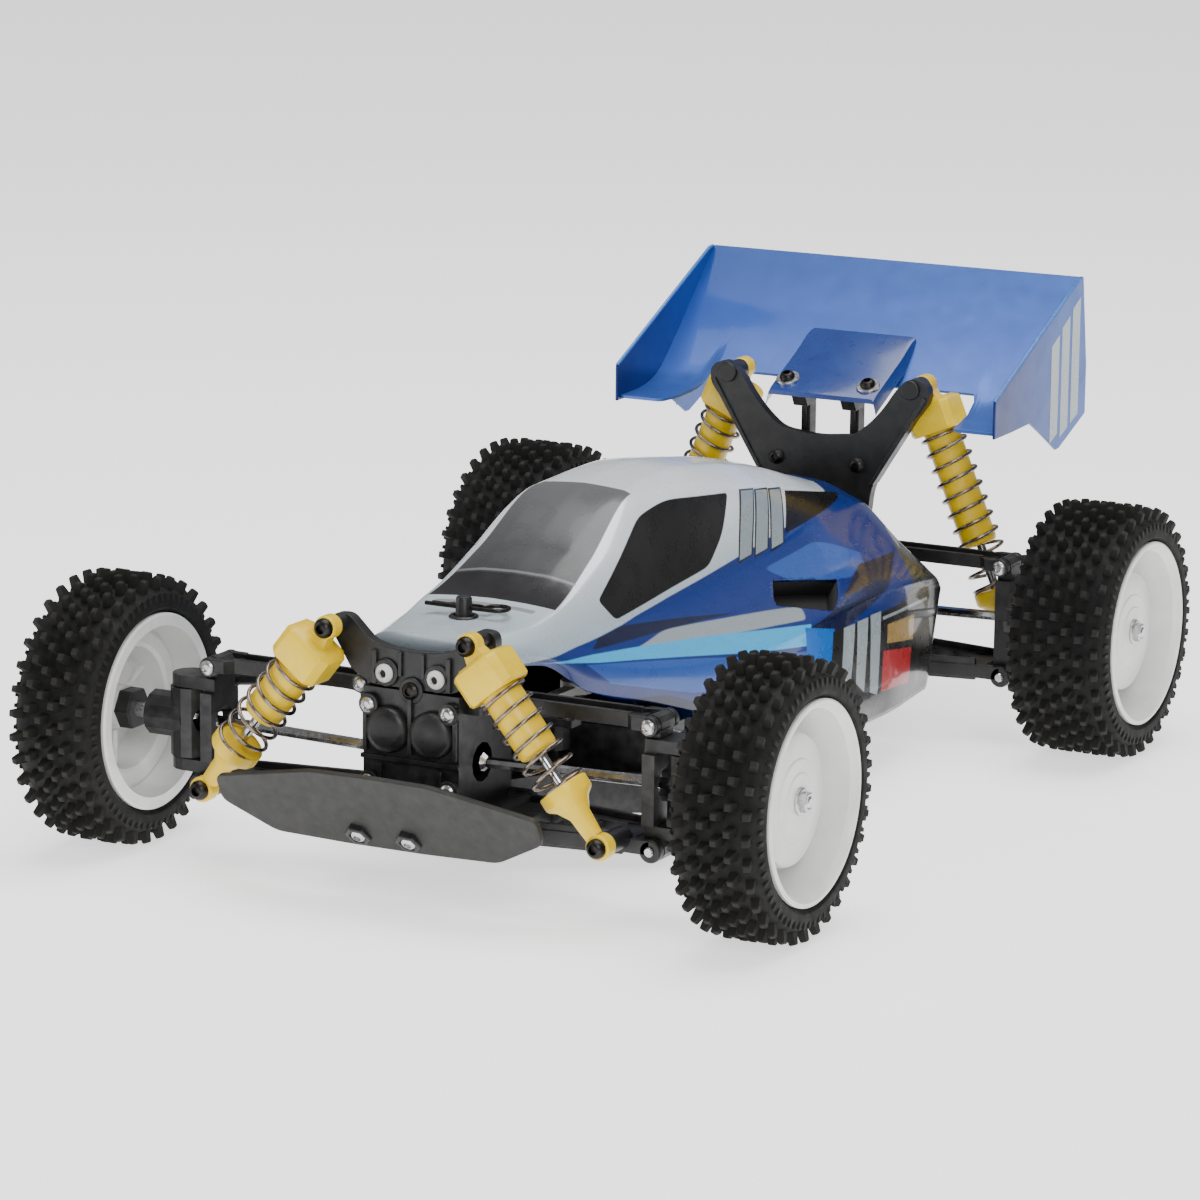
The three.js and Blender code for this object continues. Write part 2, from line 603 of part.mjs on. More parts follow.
const eyeBore = (z) => bar("y", EYE_BORE_R, -EYE_HALF - 0.5, EYE_HALF + 0.5, 0, z, 10);

function shockBody(size) {
  const eye = bar("y", 3.6, -EYE_HALF, EYE_HALF, 0, 0, 10);
  const neck = block(-3, 3, -2.4, 2.4, -6, -1);
  const cap = plateXY(armOutline([[-8.6, -4.8], [-6.4, -7.2], [6.4, -7.2], [8.6, -4.8]]), -size.cap, -5);
  const tube = bar("z", SHOCK_BARREL_R, -size.body, -size.cap + 0.5, 0, 0);
  const bore = bar("z", ROD_R + 0.6, -size.body - 1, -size.body + 22, 0, 0, 10);
  return join(eye, neck, cap, tube).subtract(bore).subtract(eyeBore(0));
}

function shockRod(size, length) {
  const rod = bar("z", ROD_R, -size.seat - 1, -size.body + 8, 0, 0, 10);
  const seat = bar("z", SEAT_R, -size.seat - 3, -size.seat, 0, 0);
  const neck = bar("z", 2.4, -length + 2, -size.seat - 2.5, 0, 0, 12, 5.5);
  const eye = bar("y", 3.8, -EYE_HALF, EYE_HALF, 0, -length, 10);
  return join(rod, seat, neck, eye).subtract(eyeBore(-length));
}

class Helix extends THREE.Curve {
  constructor(radius, top, bottom, turns) {
    super();
    Object.assign(this, { radius, top, bottom, turns });
  }
  getPoint(t) {
    const angle = 2 * Math.PI * this.turns * t;
    const z = this.top + (this.bottom - this.top) * t;
    return new THREE.Vector3(this.radius * Math.cos(angle), this.radius * Math.sin(angle), z);
  }
}

function spring(size) {
  const section = outline([[WIRE, 0], [0, WIRE], [-WIRE, 0], [0, -WIRE]]);
  const [top, bottom] = [-size.cap - 2 * WIRE, -size.seat + 2 * WIRE];
  const path = new Helix(SPRING_R, top, bottom, size.springTurns);
  const options = { steps: 9 * size.springTurns, extrudePath: path };
  return solid(new THREE.ExtrudeGeometry(section, options));
}

function addShock(end, corner, side, name) {
  const size = SHOCKS[end];
  const { y, top, low } = corner.shock;
  const [across, down] = [low.x - top.x, top.z - low.z];
  const holder = new THREE.Group();
  holder.position.set(side * top.x, y, top.z);
  holder.rotation.y = -side * Math.atan2(across, down);
  buggy.add(holder);
  node(`${name}_shock_body`, shockBody(size), YELLOW, holder);
  node(`${name}_shock_rod`, shockRod(size, Math.hypot(across, down)), YELLOW, holder);
  node(`${name}_shock_spring`, spring(size), STEEL, holder);
}

// ---- rear wing ----------------------------------------------------------------------------------
// A curved blade between two endplates. Its front edge steps back to clear the dampers' caps,
// and a raised pad reaches forward in the middle for the stay.
const BLADE = [[246, 103.6], [262, 104.2], [272, 107], [285, 117], [300, 131], [WING.back, WING.backZ]];
const PAD = { half: 20, front: 259, frontZ: 108.5, back: 291, backZ: 124.5 };

function rearWing() {
  const under = BLADE.map(([y, z]) => [y, z - SKIN]).reverse();
  const blade = plateYZ([...BLADE, ...under], -WING.half + 0.5, WING.half - 0.5);
  const recess = plateXY([[-55, 240], [-48.5, 277], [48.5, 277], [55, 240]], 90, 115);
  const { half, front, frontZ, back, backZ } = PAD;
  const wedge = [[front, frontZ], [back, backZ], [back, backZ - 4], [front, frontZ - SKIN]];
  const pad = plateYZ(wedge, -half, half);
  const plate = [
    [WING.front, 101.5], [273, 102.5], [297, 90], [WING.tail, 99], [WING.tail, 116],
    [WING.back - 1, WING.backZ + 0.5], [WING.front, 114],
  ];
  const ends = [-WING.half, WING.half - SKIN].map((x) => plateYZ(plate, x, x + SKIN));
  return join(blade.subtract(recess), pad, ...ends);
}

// Two posts from the gearbox to the slanted feet under the wing's pad.
function wingStay() {
  const foot = [[260, 106.6], [272, 112], [272, 108], [266, 103], [260, 104]];
  const posts = [-9, 9].flatMap((x) => [
    block(x - 1.6, x + 1.6, 266, 271, TOWER_FOOT, 106),
    plateYZ(foot, x - 2.4, x + 2.4),
  ]);
  return join(...posts, block(-11, 11, 262.6, 271, TOWER_FOOT, 67));
}

// ---- body shell ---------------------------------------------------------------------------------
// Half sections from the lower edge over the pod, cabin side and shoulder to the roof's middle:
// y, then (x, z) pairs.
const SECTIONS = [
  [-5, [17, 68.6], [18, 70], [19, 72], [18.5, 74], [17, 75.5], [14, 76.6], [8, 77.2], [0, 77.5]],
  [17, [26, 66.5], [27, 68], [27, 69.5], [25.5, 72], [24, 74], [20, 77], [10, 78.3], [0, 78.5]],
  [34, [33, 56], [34, 60], [33, 64.5], [29, 69], [26, 74], [22.5, 79.5], [12, 80.6], [0, 81]],
  [60, [42, 48], [44, 53], [43, 59], [35, 65], [28, 72], [22.5, 88], [12, 91.5], [0, 92]],
  [90, [51, 38], [53, 44], [51, 57], [39, 64], [29.5, 71], [19.5, 101.5], [14, 105], [0, 106]],
  [120, [56, 28], [57.5, 36], [55, 58], [41, 65], [30, 73], [21, 101], [13, 106.5], [0, 108]],
  [155, [57.5, 20], [59, 30], [57, 60], [42, 66], [30, 75], [22, 96.5], [13, 102.5], [0, 104]],
  [190, [57.5, 19.5], [58.5, 30], [56, 60], [42, 67], [29, 78], [21, 90], [13, 95.5], [0, 97]],
  [228, [54.5, 20], [55.5, 32], [53.5, 57], [40, 68], [28, 79], [20, 82.5], [12, 85], [0, 86]],
  [229, [54.4, 48], [55.4, 50], [53.4, 57], [40, 68], [28, 79], [20, 82.5], [12, 85], [0, 86]],
  [238, [54.2, 50], [54.8, 52], [53, 55.5], [39.5, 66], [27.5, 77], [19.5, 80.5], [12, 83.3], [0, 84.5]],
];

// A closed loft through half sections. An inset moves every point inwards and down, and makes the
// loft run on past both ends and 12 mm below the lower edges, as a cutter.
function loft(sections, inset) {
  const rings = sections.map(([y, ...half], i) => {
    const overrun = 3 * inset * (i === 0 ? -1 : i === sections.length - 1 ? 1 : 0);
    const left = half.map(([x, z]) => new THREE.Vector3(Math.max(0, x - inset), y + overrun, z - inset));
    const foot = new THREE.Vector3(left[0].x, y + overrun, left[0].z - 12);
    const points = inset ? [foot, ...left] : left;
    const right = points.slice(0, -1).map((p) => new THREE.Vector3(-p.x, p.y, p.z)).reverse();
    return [...points, ...right];
  });
  const count = rings[0].length;
  const position = rings.flat().flatMap((p) => p.toArray());
  const index = [];
  for (let i = 0; i < rings.length - 1; i++) {
    for (let j = 0; j < count; j++) {
      const [a, b] = [i * count + j, i * count + ((j + 1) % count)];
      index.push(a, b, a + count, b, b + count, a + count);
    }
  }
  const last = (rings.length - 1) * count;
  for (let j = 1; j < count - 1; j++) {
    index.push(0, j + 1, j);
    index.push(last, last + j, last + j + 1);
  }
  const geometry = new THREE.BufferGeometry();
  geometry.setAttribute("position", new THREE.Float32BufferAttribute(position, 3));
  geometry.setIndex(index);
  return facingOut(geometry);
}

function bodyShell() {
  const cavity = loft(SECTIONS, SKIN);
  const below = block(-80, 80, -40, 260, 0, SILL_Z);
  const postHole = bar("z", 4.6, 70, 90, 0, 17, 10);
  return loft(SECTIONS, 0).subtract(cavity).subtract(below).subtract(postHole);
}

// ---- assembly -----------------------------------------------------------------------------------
node("chassis_tub", chassisTub(), BLACK);
node("front_gearbox", frontGearbox(), BLACK);
node("rear_gearbox", rearGearbox(), BLACK);
node("front_shock_tower", frontShockTower(), BLACK);
node("rear_shock_tower", rearShockTower(), BLACK);
node("front_bumper", frontBumper(), GREY);
node("motor", motor(), STEEL);
node("battery_pack", batteryPack(), PACK);
node("speed_controller", speedController(), BLACK);
node("receiver", receiver(), BLACK);
node("steering_servo", servoBody(), BLACK);
node("wing_stay", wingStay(), BLACK);
node("rear_wing", rearWing(), BLUE);
node("body_shell", bodyShell(), SILVER);
node("propeller_shaft", propellerShaft(), STEEL);
node("motor_pinion", motorPinion(), STEEL);
node("servo_horn", servoHorn(), WHITE);
node("steering_link", steeringLink(), BLACK);

for (const [hand, side] of [["left", 1], ["right", -1]]) {
  node(`bellcrank_${hand}`, bellcrank(side), BLACK);
  node(`tie_rod_${hand}`, tieRod(side), BLACK);
  node(`front_${hand}_hub_carrier`, frontHub(side), BLACK);
  node(`front_${hand}_steering_knuckle`, knuckle(side), BLACK);
  node(`rear_${hand}_hub_carrier`, rearHub(side), BLACK);
  for (const [end, corner] of Object.entries(CORNERS)) {
    const name = `${end}_${hand}`;
    node(`${name}_lower_arm`, lowerArm(corner, side), BLACK);
    node(`${name}_upper_arm`, upperArm(corner, side), BLACK);
    node(`${name}_drive_shaft`, driveShaft(corner, side), STEEL);
    node(`${name}_wheel_rim`, rim(WHEELS[end], corner, side), WHITE);
    node(`${name}_tyre`, tyre(WHEELS[end], corner, side), RUBBER);
    addShock(end, corner, side, name);
  }
}

buggy.position.y = -(WING.tail - AXLE_Z) / 2;

export default buggy;
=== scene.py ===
# The looks of a 1/10 scale off-road buggy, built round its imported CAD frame.
# Lengths are millimetres in the buggy's own frame: front axle at y = 0, ground at z = 0,
# nose towards -Y and the buggy's left side at +X. P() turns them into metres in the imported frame.
import math

import bmesh
import bpy
from mathutils import Matrix, Vector


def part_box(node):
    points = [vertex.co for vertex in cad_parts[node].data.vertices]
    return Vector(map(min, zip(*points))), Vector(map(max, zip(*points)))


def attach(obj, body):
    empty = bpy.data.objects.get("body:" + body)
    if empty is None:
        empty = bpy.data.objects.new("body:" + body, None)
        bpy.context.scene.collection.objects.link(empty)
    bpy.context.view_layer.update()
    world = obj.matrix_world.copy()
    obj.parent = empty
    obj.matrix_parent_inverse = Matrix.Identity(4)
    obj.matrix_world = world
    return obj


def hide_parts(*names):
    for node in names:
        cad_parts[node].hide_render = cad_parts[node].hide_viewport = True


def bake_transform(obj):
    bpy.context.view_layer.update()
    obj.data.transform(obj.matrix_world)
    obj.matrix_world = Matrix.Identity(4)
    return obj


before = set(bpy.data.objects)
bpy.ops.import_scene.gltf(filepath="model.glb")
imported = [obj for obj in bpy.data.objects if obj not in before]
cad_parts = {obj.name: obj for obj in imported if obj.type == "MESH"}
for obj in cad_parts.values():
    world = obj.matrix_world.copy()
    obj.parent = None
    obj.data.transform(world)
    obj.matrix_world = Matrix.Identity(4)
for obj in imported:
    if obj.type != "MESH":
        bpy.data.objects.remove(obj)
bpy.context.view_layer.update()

MM = 0.001


def centre(node):
    low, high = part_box(node)
    return (low + high) / 2


FRONT_Y = centre("front_left_tyre").y
WHEELBASE = (centre("rear_left_tyre").y - FRONT_Y) / MM
AXLE_Z = centre("front_left_tyre").z / MM
SIDES = (("left", 1), ("right", -1))
FRONT_TOWER = (-13.2, -9.2)
REAR_TOWER = (256.6, 260.6)
DECK_Z = 62.4
POST_Y = 17
ENDS = ("front", "rear")


def P(x, y, z):
    return Vector((x * MM, y * MM + FRONT_Y, z * MM))


# ---- camera, floor and light --------------------------------------------------------------------
AZIMUTH, ELEVATION, ROLL = (math.radians(a) for a in (27.43, 12.90, 0.695))
AIM = (0, 130, 45)
DISTANCE = 1628.4


def add_camera():
    back = Vector((
        math.sin(AZIMUTH) * math.cos(ELEVATION),
        -math.cos(AZIMUTH) * math.cos(ELEVATION),
        math.sin(ELEVATION),
    ))
    right = Vector((math.cos(AZIMUTH), math.sin(AZIMUTH), 0))
    up = back.cross(right)
    tilted_right = right * math.cos(ROLL) + up * math.sin(ROLL)
    tilted_up = up * math.cos(ROLL) - right * math.sin(ROLL)
    data = bpy.data.cameras.new("camera")
    data.sensor_width = 36
    data.lens = 155.08
    data.shift_x = -0.0334
    data.shift_y = 0.0443
    data.clip_end = 50
    camera = bpy.data.objects.new("camera", data)
    bpy.context.collection.objects.link(camera)
    place = P(*AIM) + back * DISTANCE * MM
    turn = Matrix((tilted_right, tilted_up, back)).transposed()
    camera.matrix_world = Matrix.Translation(place) @ turn.to_4x4()
    bpy.context.scene.camera = camera


def add_light(name, place, size, energy, colour=(1, 1, 1)):
    data = bpy.data.lights.new(name, "AREA")
    data.size = size
    data.energy = energy
    data.color = colour
    lamp = bpy.data.objects.new(name, data)
    lamp.location = place
    lamp.rotation_euler = (-lamp.location).to_track_quat("-Z", "Y").to_euler()
    bpy.context.collection.objects.link(lamp)


def add_stage():
    mesh = bpy.data.meshes.new("floor")
    mesh.from_pydata(
        [(-9, -9, -0.0002), (9, -9, -0.0002), (9, 9, -0.0002), (-9, 9, -0.0002)], [], [(0, 1, 2, 3)],
    )
    floor = bpy.data.objects.new("floor", mesh)
    bpy.context.collection.objects.link(floor)
    pale = bpy.data.materials.new("floor")
    pale.use_nodes = True
    shader = pale.node_tree.nodes["Principled BSDF"]
    shader.inputs["Base Color"].default_value = (0.9, 0.9, 0.9, 1)
    shader.inputs["Roughness"].default_value = 0.75
    shader.inputs["Emission Color"].default_value = (1, 1, 1, 1)
    shader.inputs["Emission Strength"].default_value = 1.2
    mesh.materials.append(pale)
    world = bpy.data.worlds.new("studio")
    world.use_nodes = True
    world.node_tree.nodes["Background"].inputs["Color"].default_value = (1, 1, 1, 1)
    world.node_tree.nodes["Background"].inputs["Strength"].default_value = 0.24
    bpy.context.scene.world = world
    add_light("overhead", (0.1, 0.1, 1.4), 1.3, 23)
    add_light("key", (1.0, -1.3, 0.9), 0.7, 13)
    add_light("fill", (-1.3, -0.7, 0.6), 0.8, 5)


# ---- material nodes -----------------------------------------------------------------------------
class Nodes:
    """A short way to write a material's node tree."""

    def __init__(self, name):
        self.material = bpy.data.materials.new(name)
        self.material.use_nodes = True
        self.tree = self.material.node_tree
        self.shader = self.tree.nodes["Principled BSDF"]
        coordinates = self.tree.nodes.new("ShaderNodeTexCoord")
        self.place = coordinates.outputs["Object"]

    def put(self, value, socket):
        if isinstance(value, bpy.types.NodeSocket):
            self.tree.links.new(value, socket)
        elif value is not None:
            socket.default_value = value

    def math(self, operation, a, b=None, c=None):
        node = self.tree.nodes.new("ShaderNodeMath")
        node.operation = operation
        for value, socket in zip((a, b, c), node.inputs):
            self.put(value, socket)
        return node.outputs[0]

    def clamp(self, value):
        node = self.tree.nodes.new("ShaderNodeClamp")
        self.put(value, node.inputs[0])
        return node.outputs[0]

    def mix(self, share, a, b):
        node = self.tree.nodes.new("ShaderNodeMix")
        node.data_type = "RGBA"
        self.put(share, node.inputs[0])
        self.put(a if isinstance(a, bpy.types.NodeSocket) else (*a, 1), node.inputs[6])
        self.put(b if isinstance(b, bpy.types.NodeSocket) else (*b, 1), node.inputs[7])
        return node.outputs[2]

    def span(self, value, low, high, to_low=0.0, to_high=1.0):
        node = self.tree.nodes.new("ShaderNodeMapRange")
        for number, socket in zip((value, low, high, to_low, to_high), node.inputs):
            self.put(number, socket)
        return node.outputs[0]

    def noise(self, per_metre, detail=3.0, roughness=0.55, place=None):
        node = self.tree.nodes.new("ShaderNodeTexNoise")
        self.tree.links.new(place or self.place, node.inputs["Vector"])
        node.inputs["Scale"].default_value = per_metre
        node.inputs["Detail"].default_value = detail
        node.inputs["Roughness"].default_value = roughness
        return node.outputs["Fac"]

    def stretch(self, x, y, z):
        node = self.tree.nodes.new("ShaderNodeMapping")
        node.inputs["Scale"].default_value = (x, y, z)
        self.tree.links.new(self.place, node.inputs["Vector"])
        return node.outputs["Vector"]

    def bump(self, height, distance, strength=0.6):
        node = self.tree.nodes.new("ShaderNodeBump")
        node.inputs["Distance"].default_value = distance
        node.inputs["Strength"].default_value = strength
        self.tree.links.new(height, node.inputs["Height"])
        self.tree.links.new(node.outputs["Normal"], self.shader.inputs["Normal"])

    def worn_edges(self, start=0.53, end=0.6):
        node = self.tree.nodes.new("ShaderNodeNewGeometry")
        return self.span(node.outputs["Pointiness"], start, end)

    def set(self, **sockets):
        for name, value in sockets.items():
            self.put(value, self.shader.inputs[name.replace("_", " ").title().replace("Ior", "IOR")])


def moulded(name, colour, deep, rough=(0.38, 0.55), grain=0.00006, scale=1500, wear=None, coat=0.0):
    """Injection-moulded plastic: faint mottling, fine grain and slightly lighter worn edges."""
    n = Nodes(name)
    mottle = n.span(n.noise(90, 4), 0.3, 0.7)
    tint = n.mix(mottle, deep, colour)
    if wear:
        rub = n.math("MULTIPLY", n.worn_edges(), n.span(n.noise(260, 2), 0.35, 0.7))
        tint = n.mix(rub, tint, wear)
    n.set(base_color=tint, roughness=n.span(n.noise(240, 3), 0.3, 0.7, *rough))
    n.shader.inputs["Coat Weight"].default_value = coat
    n.shader.inputs["Coat Roughness"].default_value = 0.15
    n.bump(n.noise(scale, 2), grain)
    return n.material


def metal(name, colour, rough=(0.2, 0.38), streak=(400, 400, 400), dark=None):
    n = Nodes(name)
    brush = n.noise(1, 4, 0.6, n.stretch(*streak))
    n.set(base_color=n.mix(n.span(brush, 0.3, 0.7), dark or [c * 0.7 for c in colour], colour))
    n.shader.inputs["Metallic"].default_value = 1.0
    n.set(roughness=n.span(brush, 0.3, 0.7, *rough))
    n.bump(brush, 0.00003, 0.5)
    return n.material


def rubber():
    n = Nodes("tyre_rubber")
    dust = n.span(n.noise(60, 5), 0.42, 0.72)
    base = n.mix(dust, (0.004, 0.004, 0.0037), (0.009, 0.0087, 0.008))
    scuffed = n.mix(n.math("MULTIPLY", n.worn_edges(0.52, 0.6), 0.5), base, (0.026, 0.025, 0.023))
    n.set(
        base_color=scuffed, roughness=n.span(n.noise(300, 3), 0.3, 0.7, 0.62, 0.82),
        specular_ior_level=0.25,
    )
    n.bump(n.noise(2200, 3), 0.00008)
    return n.material


def sleeve():
    """The battery's plain shrink sleeve, wrinkled a little over its cells."""
    n = Nodes("pack_sleeve")
    wrinkle = n.noise(1, 3, 0.5, n.stretch(60, 260, 60))
    n.set(base_color=n.mix(n.span(wrinkle, 0.3, 0.7), (0.01, 0.035, 0.16), (0.015, 0.06, 0.26)))
    n.set(roughness=n.span(wrinkle, 0.3, 0.7, 0.25, 0.4))
    n.bump(wrinkle, 0.0004)
    return n.material


# ---- body and wing paint ------------------------------------------------------------------------
WHITE = (0.80, 0.85, 0.88)
# the white in painted shade, for the lower cabin side
WHITE_IN_PAINTED_SHADE = (0.36, 0.46, 0.54)
NAVY = (0.001, 0.005, 0.04)
# the blue in painted shade, for the pods' lower sides
BLUE_IN_PAINTED_SHADE = (0.0015, 0.016, 0.14)
STRONG = (0.001, 0.024, 0.19)
# light blue painted on as sky reflection
PAINTED_SKY_REFLECTION = (0.025, 0.09, 0.38)
CYAN = (0.04, 0.42, 0.80)
AZURE = (0.001, 0.12, 0.50)
SILVER = (0.30, 0.35, 0.375)
GREY = (0.055, 0.061, 0.058)
BLACK = (0.008, 0.008, 0.009)
TINT = (0.004, 0.004, 0.0045)
GOLD = (0.36, 0.23, 0.07)
RED = (0.42, 0.02, 0.025)


class Paint(Nodes):
    """Paint laid on by shapes drawn in millimetres on the object's own coordinates."""

    def __init__(self, name):
        super().__init__(name)
        split = self.tree.nodes.new("ShaderNodeSeparateXYZ")
        self.tree.links.new(self.place, split.inputs[0])
        self.x = self.math("MULTIPLY", self.math("ABSOLUTE", split.outputs[0]), 1 / MM)
        self.y = self.math("MULTIPLY_ADD", split.outputs[1], 1 / MM, -FRONT_Y / MM)
        self.z = self.math("MULTIPLY", split.outputs[2], 1 / MM)
        self.colour = None
        self.matt = None

    def inside(self, points, across=None, up=None, soft=0.3, corner=0.0):
        """1 inside a convex outline, 0 outside, with a crisp edge."""
        across, up = across or self.y, up or self.z
        area = sum(a[0] * b[1] - b[0] * a[1] for a, b in zip(points, points[1:] + points[:1]))
        way = 1 if area > 0 else -1
        depth = None
        for (a, b), (c, d) in zip(points, points[1:] + points[:1]):
            length = math.hypot(c - a, d - b)
            na, nb = -(d - b) / length * way, (c - a) / length * way
            edge = self.math(
                "MULTIPLY_ADD", across, na, self.math("MULTIPLY_ADD", up, nb, -(na * a + nb * b)),
            )
            if depth is None:
                depth = edge
            elif corner:
                depth = self.math("SMOOTH_MIN", depth, edge, corner)
            else:
                depth = self.math("MINIMUM", depth, edge)
        return self.clamp(self.math("MULTIPLY_ADD", depth, 1 / soft, 0.5))

    def lay(self, mask, colour):
        self.colour = colour if self.colour is None else self.mix(mask, self.colour, colour)

    def fill(self, colour, points, **options):
        mask = self.inside(points, **options)
        self.lay(mask, colour)
        return mask

    def pane(self, colour, points, **options):
        """Tinted glass: darker paint with less shine over it."""
        mask = self.fill(colour, points, **options)
        self.matt = mask if self.matt is None else self.math("MAXIMUM", self.matt, mask)

    def line(self, colour, start, end, width, **options):
        """A straight stripe from start to end."""
        (a, b), (c, d) = start, end
        length = math.hypot(c - a, d - b)
        ox, oy = -(d - b) / length * width / 2, (c - a) / length * width / 2
        self.fill(
            colour, [(a - ox, b - oy), (c - ox, d - oy), (c + ox, d + oy), (a + ox, b + oy)], **options,
        )

    def lacquer(self, metallic=0.12, rough=(0.24, 0.34), coat=0.6):
        flake = self.noise(5200, 1)
        shimmer = self.span(flake, 0.35, 0.65, 0.92, 1.06)
        node = self.tree.nodes.new("ShaderNodeVectorMath")
        node.operation = "MULTIPLY"
        self.tree.links.new(self.colour, node.inputs[0])
        combine = self.tree.nodes.new("ShaderNodeCombineXYZ")
        for socket in combine.inputs:
            self.tree.links.new(shimmer, socket)
        self.tree.links.new(combine.outputs[0], node.inputs[1])
        self.set(base_color=node.outputs[0])
        self.shader.inputs["Metallic"].default_value = metallic
        self.set(roughness=self.span(self.noise(150, 3), 0.3, 0.7, *rough))
        if self.matt is None:
            self.shader.inputs["Coat Weight"].default_value = coat
        else:
            self.set(coat_weight=self.span(self.matt, 0, 1, coat, 0.15))
        self.shader.inputs["Coat Roughness"].default_value = 0.05
        self.bump(self.noise(55, 3), 0.0002, 0.35)
        return self.material


WAIST = [(-10, 66), (22.7, 67.3), (61.6, 70.6), (137.5, 74.2), (195.5, 78.4), (250, 83)]


def below_waist(paint, offset=0.0):
    """1 under the crease between cabin and pods."""
    depth = None
    for (a, b), (c, d) in zip(WAIST, WAIST[1:]):
        slope = (d - b) / (c - a)
        level = paint.math("MULTIPLY_ADD", paint.y, slope, b - slope * a + offset)
        depth = level if depth is None else paint.math("MAXIMUM", depth, level)
    return paint.clamp(paint.math("MULTIPLY_ADD", paint.math("SUBTRACT", depth, paint.z), 3.0, 0.5))


def shell_paint():
    p = Paint("shell_paint")
    # white above the crease, darker towards the bottom: painted shade on the lower cabin side
    p.lay(None, p.mix(p.span(p.z, 68, 92), WHITE_IN_PAINTED_SHADE, WHITE))
    # blue below the crease, darker towards the bottom: painted shade on the pods' lower sides
    p.lay(below_waist(p), p.mix(p.span(p.z, 40, 68), BLUE_IN_PAINTED_SHADE, STRONG))
    # navy band under the crease, painted shade in the hollow between cabin and pod; then the sweeping
    # stripes of the pod
    p.fill(
        NAVY, [(50, 71.5), (40, 67.3), (134, 64.8), (200, 64.8), (200, 76.5), (137.5, 73.9), (61.6, 70.4)],
    )
    # light blue patches on the pod: painted sky reflection
    p.fill(PAINTED_SKY_REFLECTION, [(187.9, 74.6), (150, 72), (160, 66), (198, 64), (206, 68.6)], corner=3)
    p.fill(PAINTED_SKY_REFLECTION, [(33, 64.4), (80, 58.8), (134, 51.5), (134, 45.0), (73, 49.6), (41, 57.6)])
    p.fill(SILVER, [(60, 64.6), (78, 66.4), (143, 63.2), (137, 60.6), (66, 62.7)], corner=1)
    p.fill(CYAN, [(18, 67.2), (38.2, 66.4), (137, 59.4), (134.3, 53.2), (38, 64.2)])
    p.fill(NAVY, [(22, 64.5), (40.9, 58), (71.6, 49.9), (140, 45), (140, 30), (60, 44)])
    p.fill(STRONG, [(195, 78.2), (238, 82.5), (230, 67), (214, 64.5), (190, 74.8)])
    p.fill(NAVY, [(226, 65.4), (198.2, 66.2), (136.3, 58.6), (146, 53.6), (160, 54.4)])
    p.fill(AZURE, [(133, 59), (151, 55.4), (147, 33), (131, 33)])
    # tail: grey facet with a fine grille, silver stripes, black side panel with two plain blocks
    p.fill(GREY, [(165, 53.2), (240, 50), (240, 74), (230, 67)])
    for i in range(5):
        p.line(BLACK, (204 + 6 * i, 53.8 + 1.7 * i), (240, 53.8 + 2.6 * i), 0.5)
    p.fill(SILVER, [(244, 78.5), (236, 70.5), (158, 54.6), (164, 52.6), (240, 67)])
    p.fill(BLACK, [(150, 54.6), (240, 52.5), (240, 10), (140, 10)])
    for i in range(3):
        y = 157.5 + 10.4 * i
        p.fill(SILVER, [(y, 54.4), (y + 8.6, 54.2), (y + 3.4, 34 - 3 * i), (y - 2.6, 40 - 5 * i)])
    p.fill(GOLD, [(190.5, 43), (191.6, 49), (215.6, 47.6), (213.4, 39.8)])
    p.fill(RED, [(184.6, 28.4), (187.2, 41.2), (211.6, 37.6), (208.8, 26.6)])
    p.line(SILVER, (188, 51.6), (228, 50.4), 1.0)
    # glass
    # the windscreen grows lighter towards the top: painted sky reflection on the glass
    dark = p.mix(p.span(p.y, 33, 92), (0.012, 0.013, 0.014), (0.13, 0.135, 0.14))
    screen = [(-16.2, 91.5), (16.2, 91.5), (21.6, 33.5), (-21.6, 33.5)]
    p.pane(dark, screen, across=p.x, up=p.y, corner=0.6)
    p.fill(
        (0.010, 0.010, 0.012), [(-21.6, 33.5), (21.6, 33.5), (20.3, 47), (-20.3, 47)], across=p.x, up=p.y,
    )
    p.line((0.30, 0.31, 0.32), (-17, 29), (17, 29), 2.4, across=p.x, up=p.y)
    p.line((0.18, 0.18, 0.19), (-20.4, 48.2), (20.4, 48.2), 1.0, across=p.x, up=p.y)
    side = [
        (53.9, 79.0), (60.2, 72.2), (121, 77.7), (134.5, 85.4), (144.6, 96.4), (105.7, 100.6), (87.3, 98.2),
    ]
    p.pane(TINT, side, corner=2.5)
    quarter = [(187.5, 89.8), (232, 81.6), (205, 80.2), (173.5, 77.9)]
    p.pane(TINT, quarter, corner=1)
    for i in range(3):
        y = 153.8 + 10.9 * i
        p.fill(
            BLACK, [(y - 0.8, 96 - 1.7 * i), (y + 10.1, 94.6 - 1.7 * i), (y - 4.0, 76.4), (y - 14.6, 75.2)],
        )
        p.fill(
            SILVER,
            [(y + 0.2, 95.4 - 1.7 * i), (y + 8.9, 94.2 - 1.7 * i), (y - 4.9, 76.6), (y - 13.2, 76.0)],
        )
    return p.lacquer()


def wing_paint():
    p = Paint("wing_paint")
    low, high = 103.0, 146.0
    # lighter on the low flat front, darker up the rising back: painted sky reflection on the flat part
    p.lay(None, p.mix(p.span(p.z, low, 128), (0.055, 0.14, 0.50), (0.016, 0.075, 0.38)))
    p.lay(p.span(p.z, 129, high - 6), (0.0015, 0.055, 0.30))
    p.lay(p.clamp(p.math("MULTIPLY_ADD", p.x, 1.0, -68.4)), (0.01, 0.13, 0.47))
    return p.lacquer(0.45, (0.3, 0.4), 0.2)


def endplate_paint():
    p = Paint("endplate_paint")
    p.lay(None, p.mix(p.span(p.y, 250, 300), (0.0015, 0.018, 0.15), (0.004, 0.075, 0.36)))
    return p.lacquer(0.45, (0.3, 0.4), 0.2)


